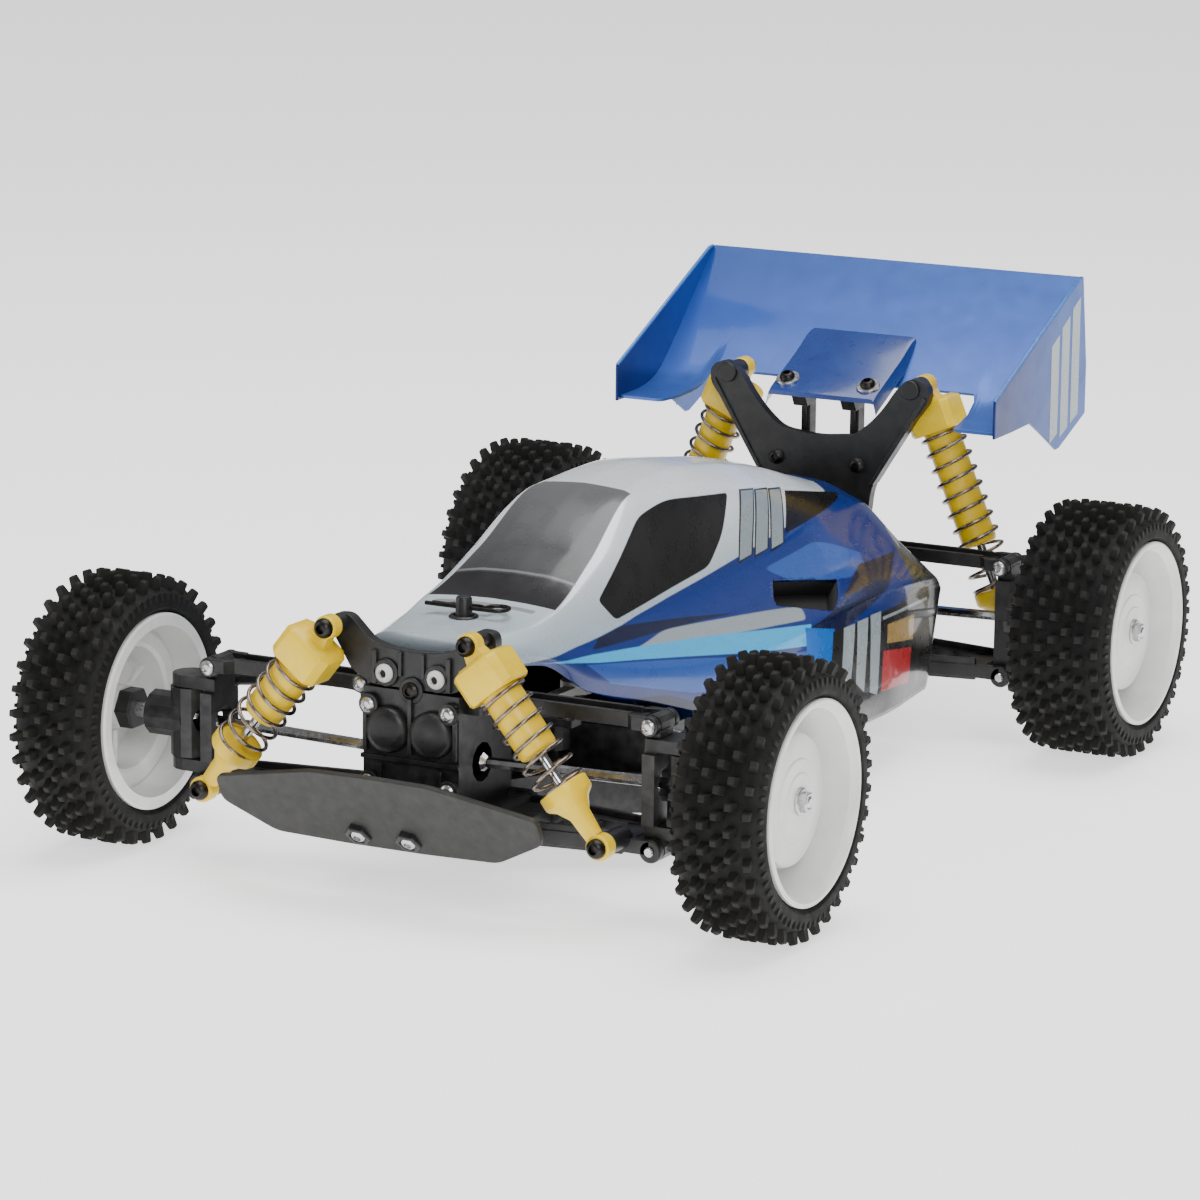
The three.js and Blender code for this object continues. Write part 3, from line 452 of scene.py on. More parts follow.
# ---- mesh building ------------------------------------------------------------------------------
def loft(loops, capped=True):
    """Skin over closed loops of points."""
    count = len(loops[0])
    points = [p for loop in loops for p in loop]
    faces = []
    for i in range(len(loops) - 1):
        for j in range(count):
            k = (j + 1) % count
            faces.append((i * count + j, i * count + k, (i + 1) * count + k, (i + 1) * count + j))
    if capped:
        last = (len(loops) - 1) * count
        faces.append(tuple(reversed(range(count))))
        faces.append(tuple(range(last, last + count)))
    return points, faces


def axes_of(direction):
    along = Vector(direction).normalized()
    side = along.orthogonal().normalized()
    if abs(along.y) > 0.99:
        side = Vector((1, 0, 0))
    elif abs(along.x) > 0.99:
        side = Vector((0, 1, 0))
    elif abs(along.y) < 1e-6:
        side = Vector((0, 1, 0))
    return along, side, along.cross(side)


def lathe(profile, origin, direction, sides=48, turn=0.0):
    """A turned solid: profile is a list of (distance along, radius)."""
    along, a, b = axes_of(direction)
    origin = Vector(origin)
    loops = []
    for distance, radius in profile:
        radius = max(radius, 0.0005)
        angles = [2 * math.pi * i / sides + turn for i in range(sides)]
        loops.append(
            [origin + along * distance + (a * math.cos(t) + b * math.sin(t)) * radius for t in angles]
        )
    return loft(loops)


def ring(profile, origin, direction, sides=48):
    """As lathe, for a profile that closes on itself."""
    points, faces = lathe(profile + profile[:1], origin, direction, sides)
    return points, faces[:-2]


def rod(start, end, radius, sides=24, end_radius=None):
    start, end = Vector(start), Vector(end)
    length = (end - start).length
    far = radius if end_radius is None else end_radius
    soft = min(0.35, radius * 0.3, far * 0.3, length * 0.2)
    profile = [(0, radius - soft), (soft, radius), (length - soft, far), (length, far - soft)]
    return lathe(profile, start, end - start, sides)


def pin(x, z, start, end, radius, sides=32):
    """A round bar along Y."""
    return rod((x, start, z), (x, end, z), radius, sides)


def prism(outline, axis, low, high):
    """A plate whose outline is drawn across one axis, in x, y, z order of the other two."""
    order = {
        "x": lambda u, v, w: (w, u, v), "y": lambda u, v, w: (u, w, v), "z": lambda u, v, w: (u, v, w),
    }[axis]
    return loft([[Vector(order(u, v, w)) for u, v in outline] for w in (low, high)])


def block(x0, x1, y0, y1, z0, z1):
    return prism([(x0, y0), (x1, y0), (x1, y1), (x0, y1)], "z", z0, z1)


def tube(path, radius, sides=10):
    """A round wire along a path."""
    path = [Vector(p) for p in path]
    loops = []
    normal = (path[1] - path[0]).normalized().orthogonal().normalized()
    for i, point in enumerate(path):
        forward = (path[min(i + 1, len(path) - 1)] - path[max(i - 1, 0)]).normalized()
        normal = (normal - forward * normal.dot(forward)).normalized()
        other = forward.cross(normal)
        angles = [2 * math.pi * k / sides for k in range(sides)]
        loops.append([point + (normal * math.cos(t) + other * math.sin(t)) * radius for t in angles])
    return loft(loops)


def piece(name, body, look, *solids, mirror=1, bevel=0.0, smooth=38, replaces=(), ride=True):
    """Joins solids into one object that rides on a CAD body. A look is a material's short name."""
    looks = [look] if isinstance(look, str) else look
    bm = bmesh.new()
    for item in solids:
        points, faces = item[0], item[1]
        index = item[2] if len(item) > 2 else 0
        made = [bm.verts.new(P(p[0] * mirror, p[1], p[2])) for p in points]
        for face in faces:
            new = bm.faces.new([made[i] for i in face])
            new.material_index = index
            new.smooth = True
    bmesh.ops.remove_doubles(bm, verts=bm.verts, dist=2e-6)
    bmesh.ops.recalc_face_normals(bm, faces=bm.faces)
    mesh = bpy.data.meshes.new(name)
    bm.to_mesh(mesh)
    bm.free()
    mesh.set_sharp_from_angle(angle=math.radians(smooth))
    for item in looks:
        mesh.materials.append(MATERIALS[item])
    thing = bpy.data.objects.new(name, mesh)
    bpy.context.collection.objects.link(thing)
    if bevel:
        soften(thing, bevel)
    if replaces:
        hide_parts(*replaces)
    if ride:
        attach(thing, body)
    return thing


def soften(thing, width, limit=38):
    modifier = thing.modifiers.new("rounded edges", "BEVEL")
    modifier.width = width * MM
    modifier.segments = 2
    modifier.limit_method = "ANGLE"
    modifier.angle_limit = math.radians(limit)
    modifier.harden_normals = True


def screw(origin, direction, radius=2.5, height=1.6):
    """A button-head screw with a hexagon socket."""
    socket, deep = radius * 0.48, height * 0.6
    head = [(0, radius), (height * 0.35, radius), (height * 0.8, radius * 0.78), (height, radius * 0.5)]
    head += [(height, socket), (height - deep, socket * 0.9), (height - deep, 0)]
    return lathe(head, origin, direction, 18)


def nut(origin, direction, across=3.2, height=3.0, flange=4.1):
    """A flanged hexagon lock nut with the axle's end in it."""
    plate = lathe([(0, flange), (0.7, flange), (1.0, flange - 0.7), (1.0, 0)], origin, direction, 30)
    body = lathe(
        [
            (0.8, across), (height - 0.3, across), (height, across - 0.35), (height, 2.1),
            (height - 0.9, 1.9), (height - 0.9, 0),
        ],
        origin, direction, 6,
    )
    axle = lathe(
        [(0, 1.75), (height - 0.1, 1.75), (height + 0.4, 1.3), (height + 0.4, 0)], origin, direction, 18,
    )
    return [plate, body, axle]


# ---- tyres and wheels ---------------------------------------------------------------------------
def wheel_span(end):
    low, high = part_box(f"{end}_left_tyre")
    return low.x / MM, high.x / MM


RIM_R = 30.0
CARCASS_R = 37.6
KNOB_R = AXLE_Z - 0.05


def carcass_profile(width):
    half = [
        (2.6, 27.9), (2.9, 29.6), (1.2, 30.4), (0.2, 31.6), (0.0, 33.6), (0.9, 35.6), (2.9, 37.0),
        (5.6, 37.8), (10, CARCASS_R),
    ]
    return half + [(width - a, r) for a, r in reversed(half)]


def knob(origin, outward, across, around, height, base, top, depth):
    """A tapered square spike, sunk a little into the carcass."""
    loops = []
    for level, half in ((-0.8, base), (height - 0.3, top), (height, top - 0.25)):
        middle = origin + outward * level
        corners = ((-1, -1), (1, -1), (1, 1), (-1, 1))
        loops.append([middle + across * (half * i) + around * (half * j * depth) for i, j in corners])
    return loft(loops)


def tyre_solids(end):
    inner, outer = wheel_span(end)
    width = outer - inner
    y = 0 if end == "front" else WHEELBASE
    hub = Vector((inner, y, AXLE_Z))
    solids = [ring(carcass_profile(width), hub, (1, 0, 0), 96)]
    columns = 6 if end == "front" else 7
    around_count = 34
    for column in range(columns):
        share = (column + 0.5) / columns
        offset = 1.9 + (width - 3.8) * share
        edge = abs(share - 0.5) * 2
        base_r = CARCASS_R - 1.9 * max(0.0, edge - 0.45) ** 1.4 * 2.2
        lean = math.radians(30) * max(0.0, edge - 0.5) * 2 * (1 if share > 0.5 else -1)
        for i in range(around_count):
            angle = 2 * math.pi * (i + 0.5 * (column % 2) + 0.12 * math.sin(column * 2.1)) / around_count
            radial = Vector((0, math.cos(angle), math.sin(angle)))
            around = Vector((0, -math.sin(angle), math.cos(angle)))
            outward = (radial * math.cos(lean) + Vector((math.sin(lean), 0, 0))).normalized()
            across = outward.cross(around).normalized()
            height = (KNOB_R - base_r) / max(outward.dot(radial), 0.2) * (1 if abs(lean) < 0.2 else 0.86)
            spot = hub + Vector((offset, 0, 0)) + radial * base_r
            solids.append(knob(spot, outward, across, around, height, 1.55, 1.0, 1.0))
    for i in range(around_count * 2):
        angle = 2 * math.pi * (i + 0.25) / (around_count * 2)
        radial = Vector((0, math.cos(angle), math.sin(angle)))
        around = Vector((0, -math.sin(angle), math.cos(angle)))
        for offset, way in ((0.55, -1), (width - 0.55, 1)):
            spot = hub + Vector((offset, 0, 0)) + radial * 34.6
            solids.append(knob(spot, radial, Vector((way, 0, 0)), around, 1.6, 0.55, 0.4, 1.3))
    return solids


def rim_solids(end):
    inner, outer = wheel_span(end)
    width = outer - inner
    y = 0 if end == "front" else WHEELBASE
    hub = (inner, y, AXLE_Z)
    w = width
    shell = [
        (0, 26.2), (0, 29.3), (0.5, RIM_R), (1.6, RIM_R), (2.4, 29.0), (2.8, 27.6), (w - 2.8, 27.6),
        (w - 2.4, 29.0), (w - 1.5, RIM_R), (w - 0.4, RIM_R), (w, 29.5), (w, 28.6), (w - 1.6, 27.9),
        (w - 2.4, 27.0), (w - 5.5, 26.5), (w - 15.8, 24.4), (w - 17.2, 23.6), (w - 17.6, 22.4),
        (w - 17.2, 20.9), (w - 15.4, 20.3), (w - 8.6, 19.6), (w - 7.2, 19.0), (w - 6.5, 17.6),
        (w - 6.2, 12.4), (w - 5.8, 11.9), (w - 5.6, 8.4), (w - 5.2, 7.9), (w - 5.2, 0),
    ]
    inside = [
        (w - 16.5, 0), (w - 16.5, 6.6), (w - 8.2, 7.0), (w - 8.2, 17.6), (w - 9.4, 18.2), (w - 18.4, 18.8),
        (w - 19.2, 20.0), (w - 19.4, 23.4), (w - 18.6, 25.0), (2, 26.2), (0, 26.2),
    ]
    solids = [lathe(inside + shell[1:], hub, (1, 0, 0), 96)]
    return solids, Vector(hub) + Vector((w, 0, 0))


def build_wheels():
    for end in ENDS:
        tyre = tyre_solids(end)
        rim, face = rim_solids(end)
        inner, _ = wheel_span(end)
        y = face.y
        for hand, side in SIDES:
            name = f"{end}_{hand}"
            body = f"{name}_wheel"
            piece(
                f"{name}_spiked_tyre", body, "rubber", *tyre, mirror=side, replaces=[f"{name}_tyre"],
                smooth=30,
            )
            ribs = []
            for i in range(6):
                angle = math.radians(60 * i + 30)
                radial = Vector((0, math.cos(angle), math.sin(angle)))
                start = Vector((face.x - 9, y, AXLE_Z)) + radial * 7.5
                ribs.append(
                    rod(start - Vector((3.5, 0, 0)), start + radial * 10.5 - Vector((3.5, 0, 0)), 0.8, 8)
                )
            for i in range(12):
                angle = math.radians(30 * i + 15)
                radial = Vector((0, math.cos(angle), math.sin(angle)))
                spot = Vector((face.x - 16.6, y, AXLE_Z)) + radial * 22.2
                ribs.append(rod(spot - radial * 1.3, spot + radial * 1.5, 1.0, 8))
            piece(
                f"{name}_dish_wheel", body, "white", *rim, *ribs, mirror=side,
                replaces=[f"{name}_wheel_rim"], smooth=26,
            )
            centre_face = (face.x - 5.2, y, AXLE_Z)
            stub_end = inner - 3 if end == "front" else inner - 2
            stub = lathe(
                [(0, 0), (0, 2.4), (face.x - 16.5 - stub_end, 2.4), (face.x - 16.5 - stub_end, 0)],
                (stub_end, y, AXLE_Z), (1, 0, 0), 24,
            )
            hexagon = lathe(
                [(0, 0), (0, 6.2), (0.4, 6.6), (5, 6.6), (5, 0)], (face.x - 21.4, y, AXLE_Z), (1, 0, 0), 6,
            )
            piece(
                f"{name}_wheel_nut", body, "zinc", *nut(centre_face, (1, 0, 0)), stub, mirror=side,
                bevel=0.12,
            )
            piece(f"{name}_drive_hexagon", body, "black", hexagon, mirror=side, bevel=0.3)


# ---- dampers ------------------------------------------------------------------------------------
DAMPERS = {
    "front": {
        "y": -21.0, "top": (23.6, 80.0), "low": (66.5, 26.0), "cap": 16, "body": 37, "seat": 50,
        "turns": 6.8,
    },
    "rear": {
        "y": WHEELBASE + 15.5, "top": (33.7, 113.0), "low": (69.0, 28.0), "cap": 16, "body": 56, "seat": 73,
        "turns": 11.4,
    },
}


def eyelet(spot, half, bore, edge, radius):
    """A bored boss that lies across the arm, with chamfered rims."""
    profile = [(-half, bore), (-half, edge), (-2, radius), (2, radius), (half, edge), (half, bore)]
    return ring(profile, spot, (0, 1, 0), 32)


def damper_body(d, top, down):
    """The eye, its neck, the square cap with cut corners, and the barrel."""
    across = down.cross(Vector((0, 1, 0)))

    def slice_at(distance, corners, size=1.0):
        middle = top + down * distance
        return [middle + Vector((0, v * size, 0)) + across * (u * size) for u, v in corners]

    neck = []
    for distance, wide, thick in ((1.5, 2.6, 2.2), (4.5, 3.4, 2.5), (6.5, 5.6, 4.6)):
        corners = ((-wide, -thick), (wide, -thick), (wide, thick), (-wide, thick))
        neck.append(slice_at(distance, corners))
    cut = [(8.6, 4.8), (6.4, 7.2)]
    half = cut + [(-u, v) for u, v in reversed(cut)]
    corners = half + [(u, -v) for u, v in reversed(half)]
    steps = ((5.0, 0.72), (6.0, 0.95), (6.8, 1.0), (15.2, 1.0), (16.0, 0.93))
    cap = [slice_at(distance, corners, size) for distance, size in steps]
    end = d["body"]
    barrel = [
        (15.0, 0), (15, 6), (end - 1.6, 6), (end - 0.5, 5.7), (end, 4.9), (end, 1.9), (end - 3, 1.9),
        (end - 3, 0),
    ]
    return [eyelet(top, 2.4, 1.7, 3.2, 3.6), loft(neck), loft(cap), lathe(barrel, top, down, 40)]


def spring_cup(seat, top, low, down):
    """The lower spring seat and the ball end under it."""
    length = (low - top).length
    cup = [
        (seat - 1.6, 6.3), (seat - 1.6, 7.3), (seat - 1.2, 7.7), (seat + 2.2, 7.7), (seat + 3.0, 7.2),
        (seat + 4.4, 5.4), (seat + 8.0, 3.3), (length - 3.4, 2.7), (length - 3.4, 0),
    ]
    floor = [(seat - 0.2, 0), (seat - 0.2, 6.5), (seat + 1, 6.5), (seat + 1, 0)]
    turned = [lathe(profile, top, down, 40) for profile in (cup, floor)]
    return turned + [eyelet(low, 2.5, 1.7, 3.4, 3.9)]


def coil_path(top, down, first, last, radius, turns):
    """A helix whose first and last stretches lie closed."""
    closed, rise = 0.08, 0.04
    _, a, b = axes_of(down)
    steps = int(turns * 30)
    path = []
    for i in range(steps + 1):
        u = i / steps
        if closed <= u <= 1 - closed:
            share = rise + (1 - 2 * rise) * (u - closed) / (1 - 2 * closed)
        elif u < closed:
            share = rise * (u / closed) ** 2
        else:
            share = 1 - rise * ((1 - u) / closed) ** 2
        angle = 2 * math.pi * turns * u
        middle = top + down * (first + (last - first) * share)
        path.append(middle + (a * math.cos(angle) + b * math.sin(angle)) * radius)
    return path


def build_dampers():
    coil_r, wire = 7.1, 0.6
    for end, d in DAMPERS.items():
        top = Vector((d["top"][0], d["y"], d["top"][1]))
        low = Vector((d["low"][0], d["y"], d["low"][1]))
        down = (low - top).normalized()
        way = 1 if end == "rear" else -1
        first, last = d["cap"] + wire + 0.15, d["seat"] - wire - 0.3
        rod_profile = [(d["body"] - 12, 0), (d["body"] - 12, 1.5), (d["seat"] + 2, 1.5), (d["seat"] + 2, 0)]
        for hand, side in SIDES:
            name = f"{end}_{hand}"
            body, moving = f"{name}_shock_body", f"{name}_shock_rod"
            piece(
                f"{name}_damper_body", body, "yellow", *damper_body(d, top, down), mirror=side, bevel=0.45,
                replaces=[body], smooth=35,
            )
            piece(
                f"{name}_spring_cup", moving, "yellow", *spring_cup(d["seat"], top, low, down), mirror=side,
                replaces=[moving], bevel=0.2,
            )
            piece(f"{name}_piston_rod", moving, "chrome", lathe(rod_profile, top, down, 24), mirror=side)
            wound = tube(coil_path(top, down, first, last, coil_r, d["turns"]), wire, 10)
            coil = piece(
                f"{name}_coil_spring", body, "bronze", wound, mirror=side,
                replaces=[f"{name}_shock_spring"], ride=False,
            )
            for distance in (first, last):
                spot = top + down * distance
            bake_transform(coil)
            bolts = (
                ("upper", "chassis", top, 2.5, 3.5, 1.6),
                ("lower", f"{name}_lower_arm", low, 2.6, 3.6, 1.25),
            )
            for place, rider, spot, near, far, shank_r in bolts:
                under_head = spot + Vector((0, way * near, 0))
                head = screw(under_head, (0, way, 0), 3.0, 2.4)
                shank = rod(spot - Vector((0, way * far, 0)), under_head, shank_r, 18)
                piece(f"{name}_{place}_damper_bolt", rider, "dark_steel", head, shank, mirror=side)


# ---- body shell ---------------------------------------------------------------------------------
# Half sections from the sill over the pod, cabin side and roof rail to the middle: y, then (x, z).
SECTIONS = [
    (-5, (17, 68.6), (18, 70), (19, 72), (18.5, 74), (17, 75.5), (14, 76.6), (8, 77.2), (0, 77.5)),
    (17, (26, 66.5), (27, 68), (27, 69.5), (25.5, 72), (24, 74), (20, 77), (10, 78.3), (0, 78.5)),
    (34, (33, 56), (34, 60), (33, 64.5), (29, 69), (26, 74), (22.5, 79.5), (12, 80.6), (0, 81)),
    (60, (42, 48), (44, 53), (43, 59), (35, 65), (28, 72), (22.5, 88), (12, 91.5), (0, 92)),
    (90, (51, 38), (53, 44), (51, 57), (39, 64), (29.5, 71), (19.5, 101.5), (14, 105), (0, 106)),
    (120, (56, 28), (57.5, 36), (55, 58), (41, 65), (30, 73), (21, 101), (13, 106.5), (0, 108)),
    (155, (57.5, 20), (59, 30), (57, 60), (42, 66), (30, 75), (22, 96.5), (13, 102.5), (0, 104)),
    (190, (57.5, 19.5), (58.5, 30), (56, 60), (42, 67), (29, 78), (21, 90), (13, 95.5), (0, 97)),
    (228, (54.5, 20), (55.5, 32), (53.5, 57), (40, 68), (28, 79), (20, 82.5), (12, 85), (0, 86)),
    (238, (54.2, 50), (54.8, 52), (53, 55.5), (39.5, 66), (27.5, 77), (19.5, 80.5), (12, 83.3), (0, 84.5)),
]
SCOOP = [(136, 64.2), (149, 69.2), (178, 65.2), (153, 60.6)]


def hermite(table, t):
    """A smooth curve through (t, value) pairs that never overshoots."""
    slopes = []
    for i in range(len(table)):
        if i == 0 or i == len(table) - 1:
            j = 0 if i == 0 else i - 1
            slopes.append((table[j + 1][1] - table[j][1]) / (table[j + 1][0] - table[j][0]))
            continue
        before = (table[i][1] - table[i - 1][1]) / (table[i][0] - table[i - 1][0])
        after = (table[i + 1][1] - table[i][1]) / (table[i + 1][0] - table[i][0])
        slopes.append(0 if before * after <= 0 else 2 * before * after / (before + after))
    for i in range(len(table) - 1):
        (a, va), (b, vb) = table[i], table[i + 1]
        if t <= b or i == len(table) - 2:
            h = b - a
            u = min(1.0, max(0.0, (t - a) / h))
            return (
                va * (1 + 2 * u) * (1 - u) ** 2 + slopes[i] * h * u * (1 - u) ** 2
                + vb * u * u * (3 - 2 * u) + slopes[i + 1] * h * u * u * (u - 1)
            )


def section(y):
    lanes = []
    for lane in range(1, 9):
        lanes.append(tuple(hermite([(s[0], s[lane][k]) for s in SECTIONS], y) for k in (0, 1)))
    return lanes


def depth_in(points, u, v):
    """How far a point lies inside a convex outline; negative outside."""
    area = sum(a[0] * b[1] - b[0] * a[1] for a, b in zip(points, points[1:] + points[:1]))
    way = 1 if area > 0 else -1
    best = 1e9
    for (a, b), (c, d) in zip(points, points[1:] + points[:1]):
        length = math.hypot(c - a, d - b)
        best = min(best, ((c - a) * (v - b) - (d - b) * (u - a)) / length * way)
    return best


LANE_STEPS = (6, 16, 14, 10, 14, 6, 8)


def half_section(y):
    lanes = section(y)
    whole = lanes + [(-x, z) for x, z in reversed(lanes[:-1])]
    out = []
    for i, steps in enumerate(LANE_STEPS):
        before = whole[max(i - 1, 0)]
        a, b, after = whole[i], whole[i + 1], whole[i + 2]
        for j in range(steps):
            u = j / steps
            curved = []
            for k in (0, 1):
                m0, m1 = (b[k] - before[k]) / 2, (after[k] - a[k]) / 2
                value = (2 * u ** 3 - 3 * u ** 2 + 1) * a[k] + (u ** 3 - 2 * u ** 2 + u) * m0
                value += (-2 * u ** 3 + 3 * u ** 2) * b[k] + (u ** 3 - u ** 2) * m1
                straight = a[k] + (b[k] - a[k]) * u
                curved.append(straight * 0.62 + value * 0.38)
            out.append(tuple(curved))
    out.append(lanes[-1])
    return out


def surface_x(y, z):
    """How far out the pod's top is at a height."""
    line = [spot for spot in half_section(y) if spot[0] > 30]
    for (xa, za), (xb, zb) in zip(line, line[1:]):
        if za <= z <= zb and zb > za:
            return xa + (xb - xa) * (z - za) / (zb - za)
    return line[-1][0]


def build_shell():
    rows = [-5 + 243 * i / 300 for i in range(301)]
    loops = []
    for y in rows:
        left = half_section(y)
        full = left + [(-x, z) for x, z in reversed(left[:-1])]
        loops.append([Vector((x, y, z)) for x, z in full])
    loops.insert(0, [Vector((v.x * 0.96, v.y - 0.9, 68.6 + (v.z - 68.6) * 0.12)) for v in loops[0]])
    count = len(loops[0])
    points = [p for line in loops for p in line]
    faces = []
    middle = count // 2
    for i in range(len(loops) - 1):
        for j in range(count - 1):
            corners = (i * count + j, i * count + j + 1, (i + 1) * count + j + 1, (i + 1) * count + j)
            spot = sum((points[c] for c in corners), Vector()) / 4
            if math.hypot(spot.x, spot.y - POST_Y) < 3.5 and j in range(middle - 12, middle + 12):
                continue
            faces.append(corners)
    shell = piece(
        "painted_body", "body_shell", ["shell", "inside"], (points, faces), replaces=["body_shell"],
        smooth=50,
    )
    if sum(f.normal.z for f in shell.data.polygons) < 0:
        shell.data.flip_normals()
    skin = shell.modifiers.new("sheet", "SOLIDIFY")
    skin.thickness = 1.0 * MM
    skin.offset = -1
    skin.material_offset = 1
    skin.material_offset_rim = 0
    cut_scoops(shell)
    middle = [sum(v) / len(SCOOP) for v in zip(*SCOOP)]
    outline = []
    for a, b in zip(SCOOP, SCOOP[1:] + SCOOP[:1]):
        for k in range(6):
            spot = [p + (q - p) * k / 6 for p, q in zip(a, b)]
            outline.append([m + (v - m) * 1.04 for m, v in zip(middle, spot)])
    # a near-black sunk sheet in each scoop: painted shadow of the dark inside
    for name, side in SIDES:
        tray = [
            [Vector((surface_x(y, z) - inward, y, z - drop))
            for y, z in outline] for inward, drop in ((0.5, 0.6), (4, 6))
        ]
        points, faces = loft(tray, capped=False)
        floor = tuple(range(len(outline), 2 * len(outline)))
        cup = piece(f"scoop_shadow_tray_{name}", "body_shell", "socket", (points, faces + [floor]), mirror=side)
        sheet = cup.modifiers.new("sheet", "SOLIDIFY")
        sheet.thickness = 0.5 * MM
        sheet.offset = 0
    grommet = ring(
        [(0, 3.1), (0, 4.5), (0.4, 4.5), (0.8, 4.1), (0.8, 3.1)], (0, POST_Y, 78.2), (0, 0, 1), 32,
    )
    piece("body_post_grommet", "body_shell", "black", grommet)


def cut_scoops(shell):
    """Opens the two pod scoops with straight edges."""
    bm = bmesh.new()
    bm.from_mesh(shell.data)
    low_y, high_y = P(0, 130, 0).y, P(0, 184, 0).y

    def near():
        found = []
        for face in bm.faces:
            spot = face.calc_center_median()
            beside = abs(spot.x) > 32 * MM and 57 * MM < spot.z < 72 * MM
            if beside and low_y < spot.y < high_y:
                found.append(face)
        return found

    for (a, b), (c, d) in zip(SCOOP, SCOOP[1:] + SCOOP[:1]):
        faces = near()
        edges = {e for f in faces for e in f.edges}
        verts = {v for f in faces for v in f.verts}
        normal = Vector((0, -(d - b), c - a)).normalized()
        bmesh.ops.bisect_plane(
            bm, geom=faces + list(edges) + list(verts), plane_co=P(0, a, b), plane_no=normal,
        )
    gone = []
    for face in near():
        spot = face.calc_center_median()
        if depth_in(SCOOP, (spot.y - FRONT_Y) / MM, spot.z / MM) > 0:
            gone.append(face)
    bmesh.ops.delete(bm, geom=gone, context="FACES")
    bm.to_mesh(shell.data)
    bm.free()


# ---- wing ---------------------------------------------------------------------------------------
BLADE = [(246, 103.6), (256, 103.8), (264, 104.6), (272, 107), (285, 117), (300, 131), (316, 146)]


def build_wing():
    points, faces = [], []
    columns, rows = 97, 60
    for i in range(columns):
        x = -69.3 + 138.6 * i / (columns - 1)
        share = min(1.0, max(0.0, (abs(x) - 47.8) / 6.5))
        ease = share * share * (3 - 2 * share)
        front = 276.8 + (246.3 - 276.8) * ease
        for j in range(rows):
            y = front + (316 - front) * j / (rows - 1)
            points.append(Vector((x, y, hermite(BLADE, y))))
    for i in range(columns - 1):
        for j in range(rows - 1):
            a = i * rows + j
            faces.append((a, a + rows, a + rows + 1, a + 1))
    blade = piece("wing_blade", "chassis", "wing", (points, faces), replaces=["rear_wing"], smooth=60)
    if sum(f.normal.z for f in blade.data.polygons) < 0:
        blade.data.flip_normals()
    skin = blade.modifiers.new("sheet", "SOLIDIFY")
    skin.thickness = 1.1 * MM
    skin.offset = -1
    soften(blade, 0.35)
    # the raised pad and its two screws with washers
    rise = [(258.6, 108.2), (260.5, 109.6), (268, 113.2), (280, 118.9), (288, 123.4), (291.5, 124.6)]
    loops = []
    for x, drop in ((-20.4, 5.0), (-19.4, 0.6), (-18.2, 0.0), (18.2, 0.0), (19.4, 0.6), (20.4, 5.0)):
        top = [Vector((x, y, z - drop)) for y, z in rise]
        base = [Vector((x, y, min(z - 1.6 - drop * 0.2, z - drop - 0.6))) for y, z in reversed(rise)]
        loops.append(top + base)
    piece("wing_pad", "chassis", "wing_pad", loft(loops), bevel=0.3, smooth=40)
    fixings = []
    normal = Vector((0, -5.0, 11.0)).normalized()
    for x in (-14.9, 14.9):
        spot = Vector((x, 264.0, 111.4))
        fixings.append(lathe([(-0.2, 0), (-0.2, 4.0), (0.5, 4.0), (0.7, 3.8), (0.7, 0)], spot, normal, 30))
    piece("wing_washers", "chassis", "zinc", *fixings)
    heads = [screw(Vector((x, 264.0, 111.4)) + normal * 0.7, normal, 2.6, 1.9) for x in (-14.9, 14.9)]
    piece("wing_screws", "chassis", "dark_steel", *heads)
    outline = [
        (244, 101.8), (258, 102.0), (273, 102.6), (285, 96.2), (295.5, 90.2), (298, 90.3), (320, 99),
        (320, 116), (315.4, 146.2), (312, 145.6), (244, 114),
    ]
    for side in (-1, 1):
        x0, x1 = (68.9, 69.95)
        name = "left" if side > 0 else "right"
        plate = prism(outline, "x", x0, x1)
        piece(f"wing_endplate_{name}", "chassis", "endplate", plate, mirror=side, bevel=0.4)
        roll = tube(
            [(69.3, 244.4, 114.2), (69.3, 280, 130.7), (69.3, 312, 145.5), (69.3, 314.6, 145.8)], 0.6, 10,
        )
        piece(f"wing_rolled_edge_{name}", "chassis", "edge", roll, mirror=side)
        bars = []
        for i in range(3):
            y = 289.5 + 8.6 * i
            top = 126.0 + 5.2 * i
            bottom = (92.8, 93.6, 97.0)[i]
            bar = [(y, bottom + 0.4), (y + 6.4, bottom + 3.0), (y + 6.4, top + 3.2), (y, top)]
            bars.append(prism(bar, "x", 69.93, 70.0))
        piece(f"wing_stripes_{name}", "chassis", "silver", *bars, mirror=side)


# ---- chassis parts seen from outside ------------------------------------------------------------
def round_outline(points, radius, steps=5):
    """An outline with its corners rounded."""
    out = []
    count = len(points)
    for i in range(count):
        before, here, after = (Vector(points[(i + k) % count]) for k in (-1, 0, 1))
        a, b = before - here, after - here
        reach = min(radius, a.length * 0.45, b.length * 0.45)
        start, end = here + a.normalized() * reach, here + b.normalized() * reach
        for k in range(steps + 1):
            u = k / steps
            spot = start * (1 - u) ** 2 + here * 2 * u * (1 - u) + end * u * u
            out.append((spot.x, spot.y))
    return out


def mirrored_outline(half):
    return half + [(-x, z) for x, z in reversed(half) if abs(x) > 1e-6]


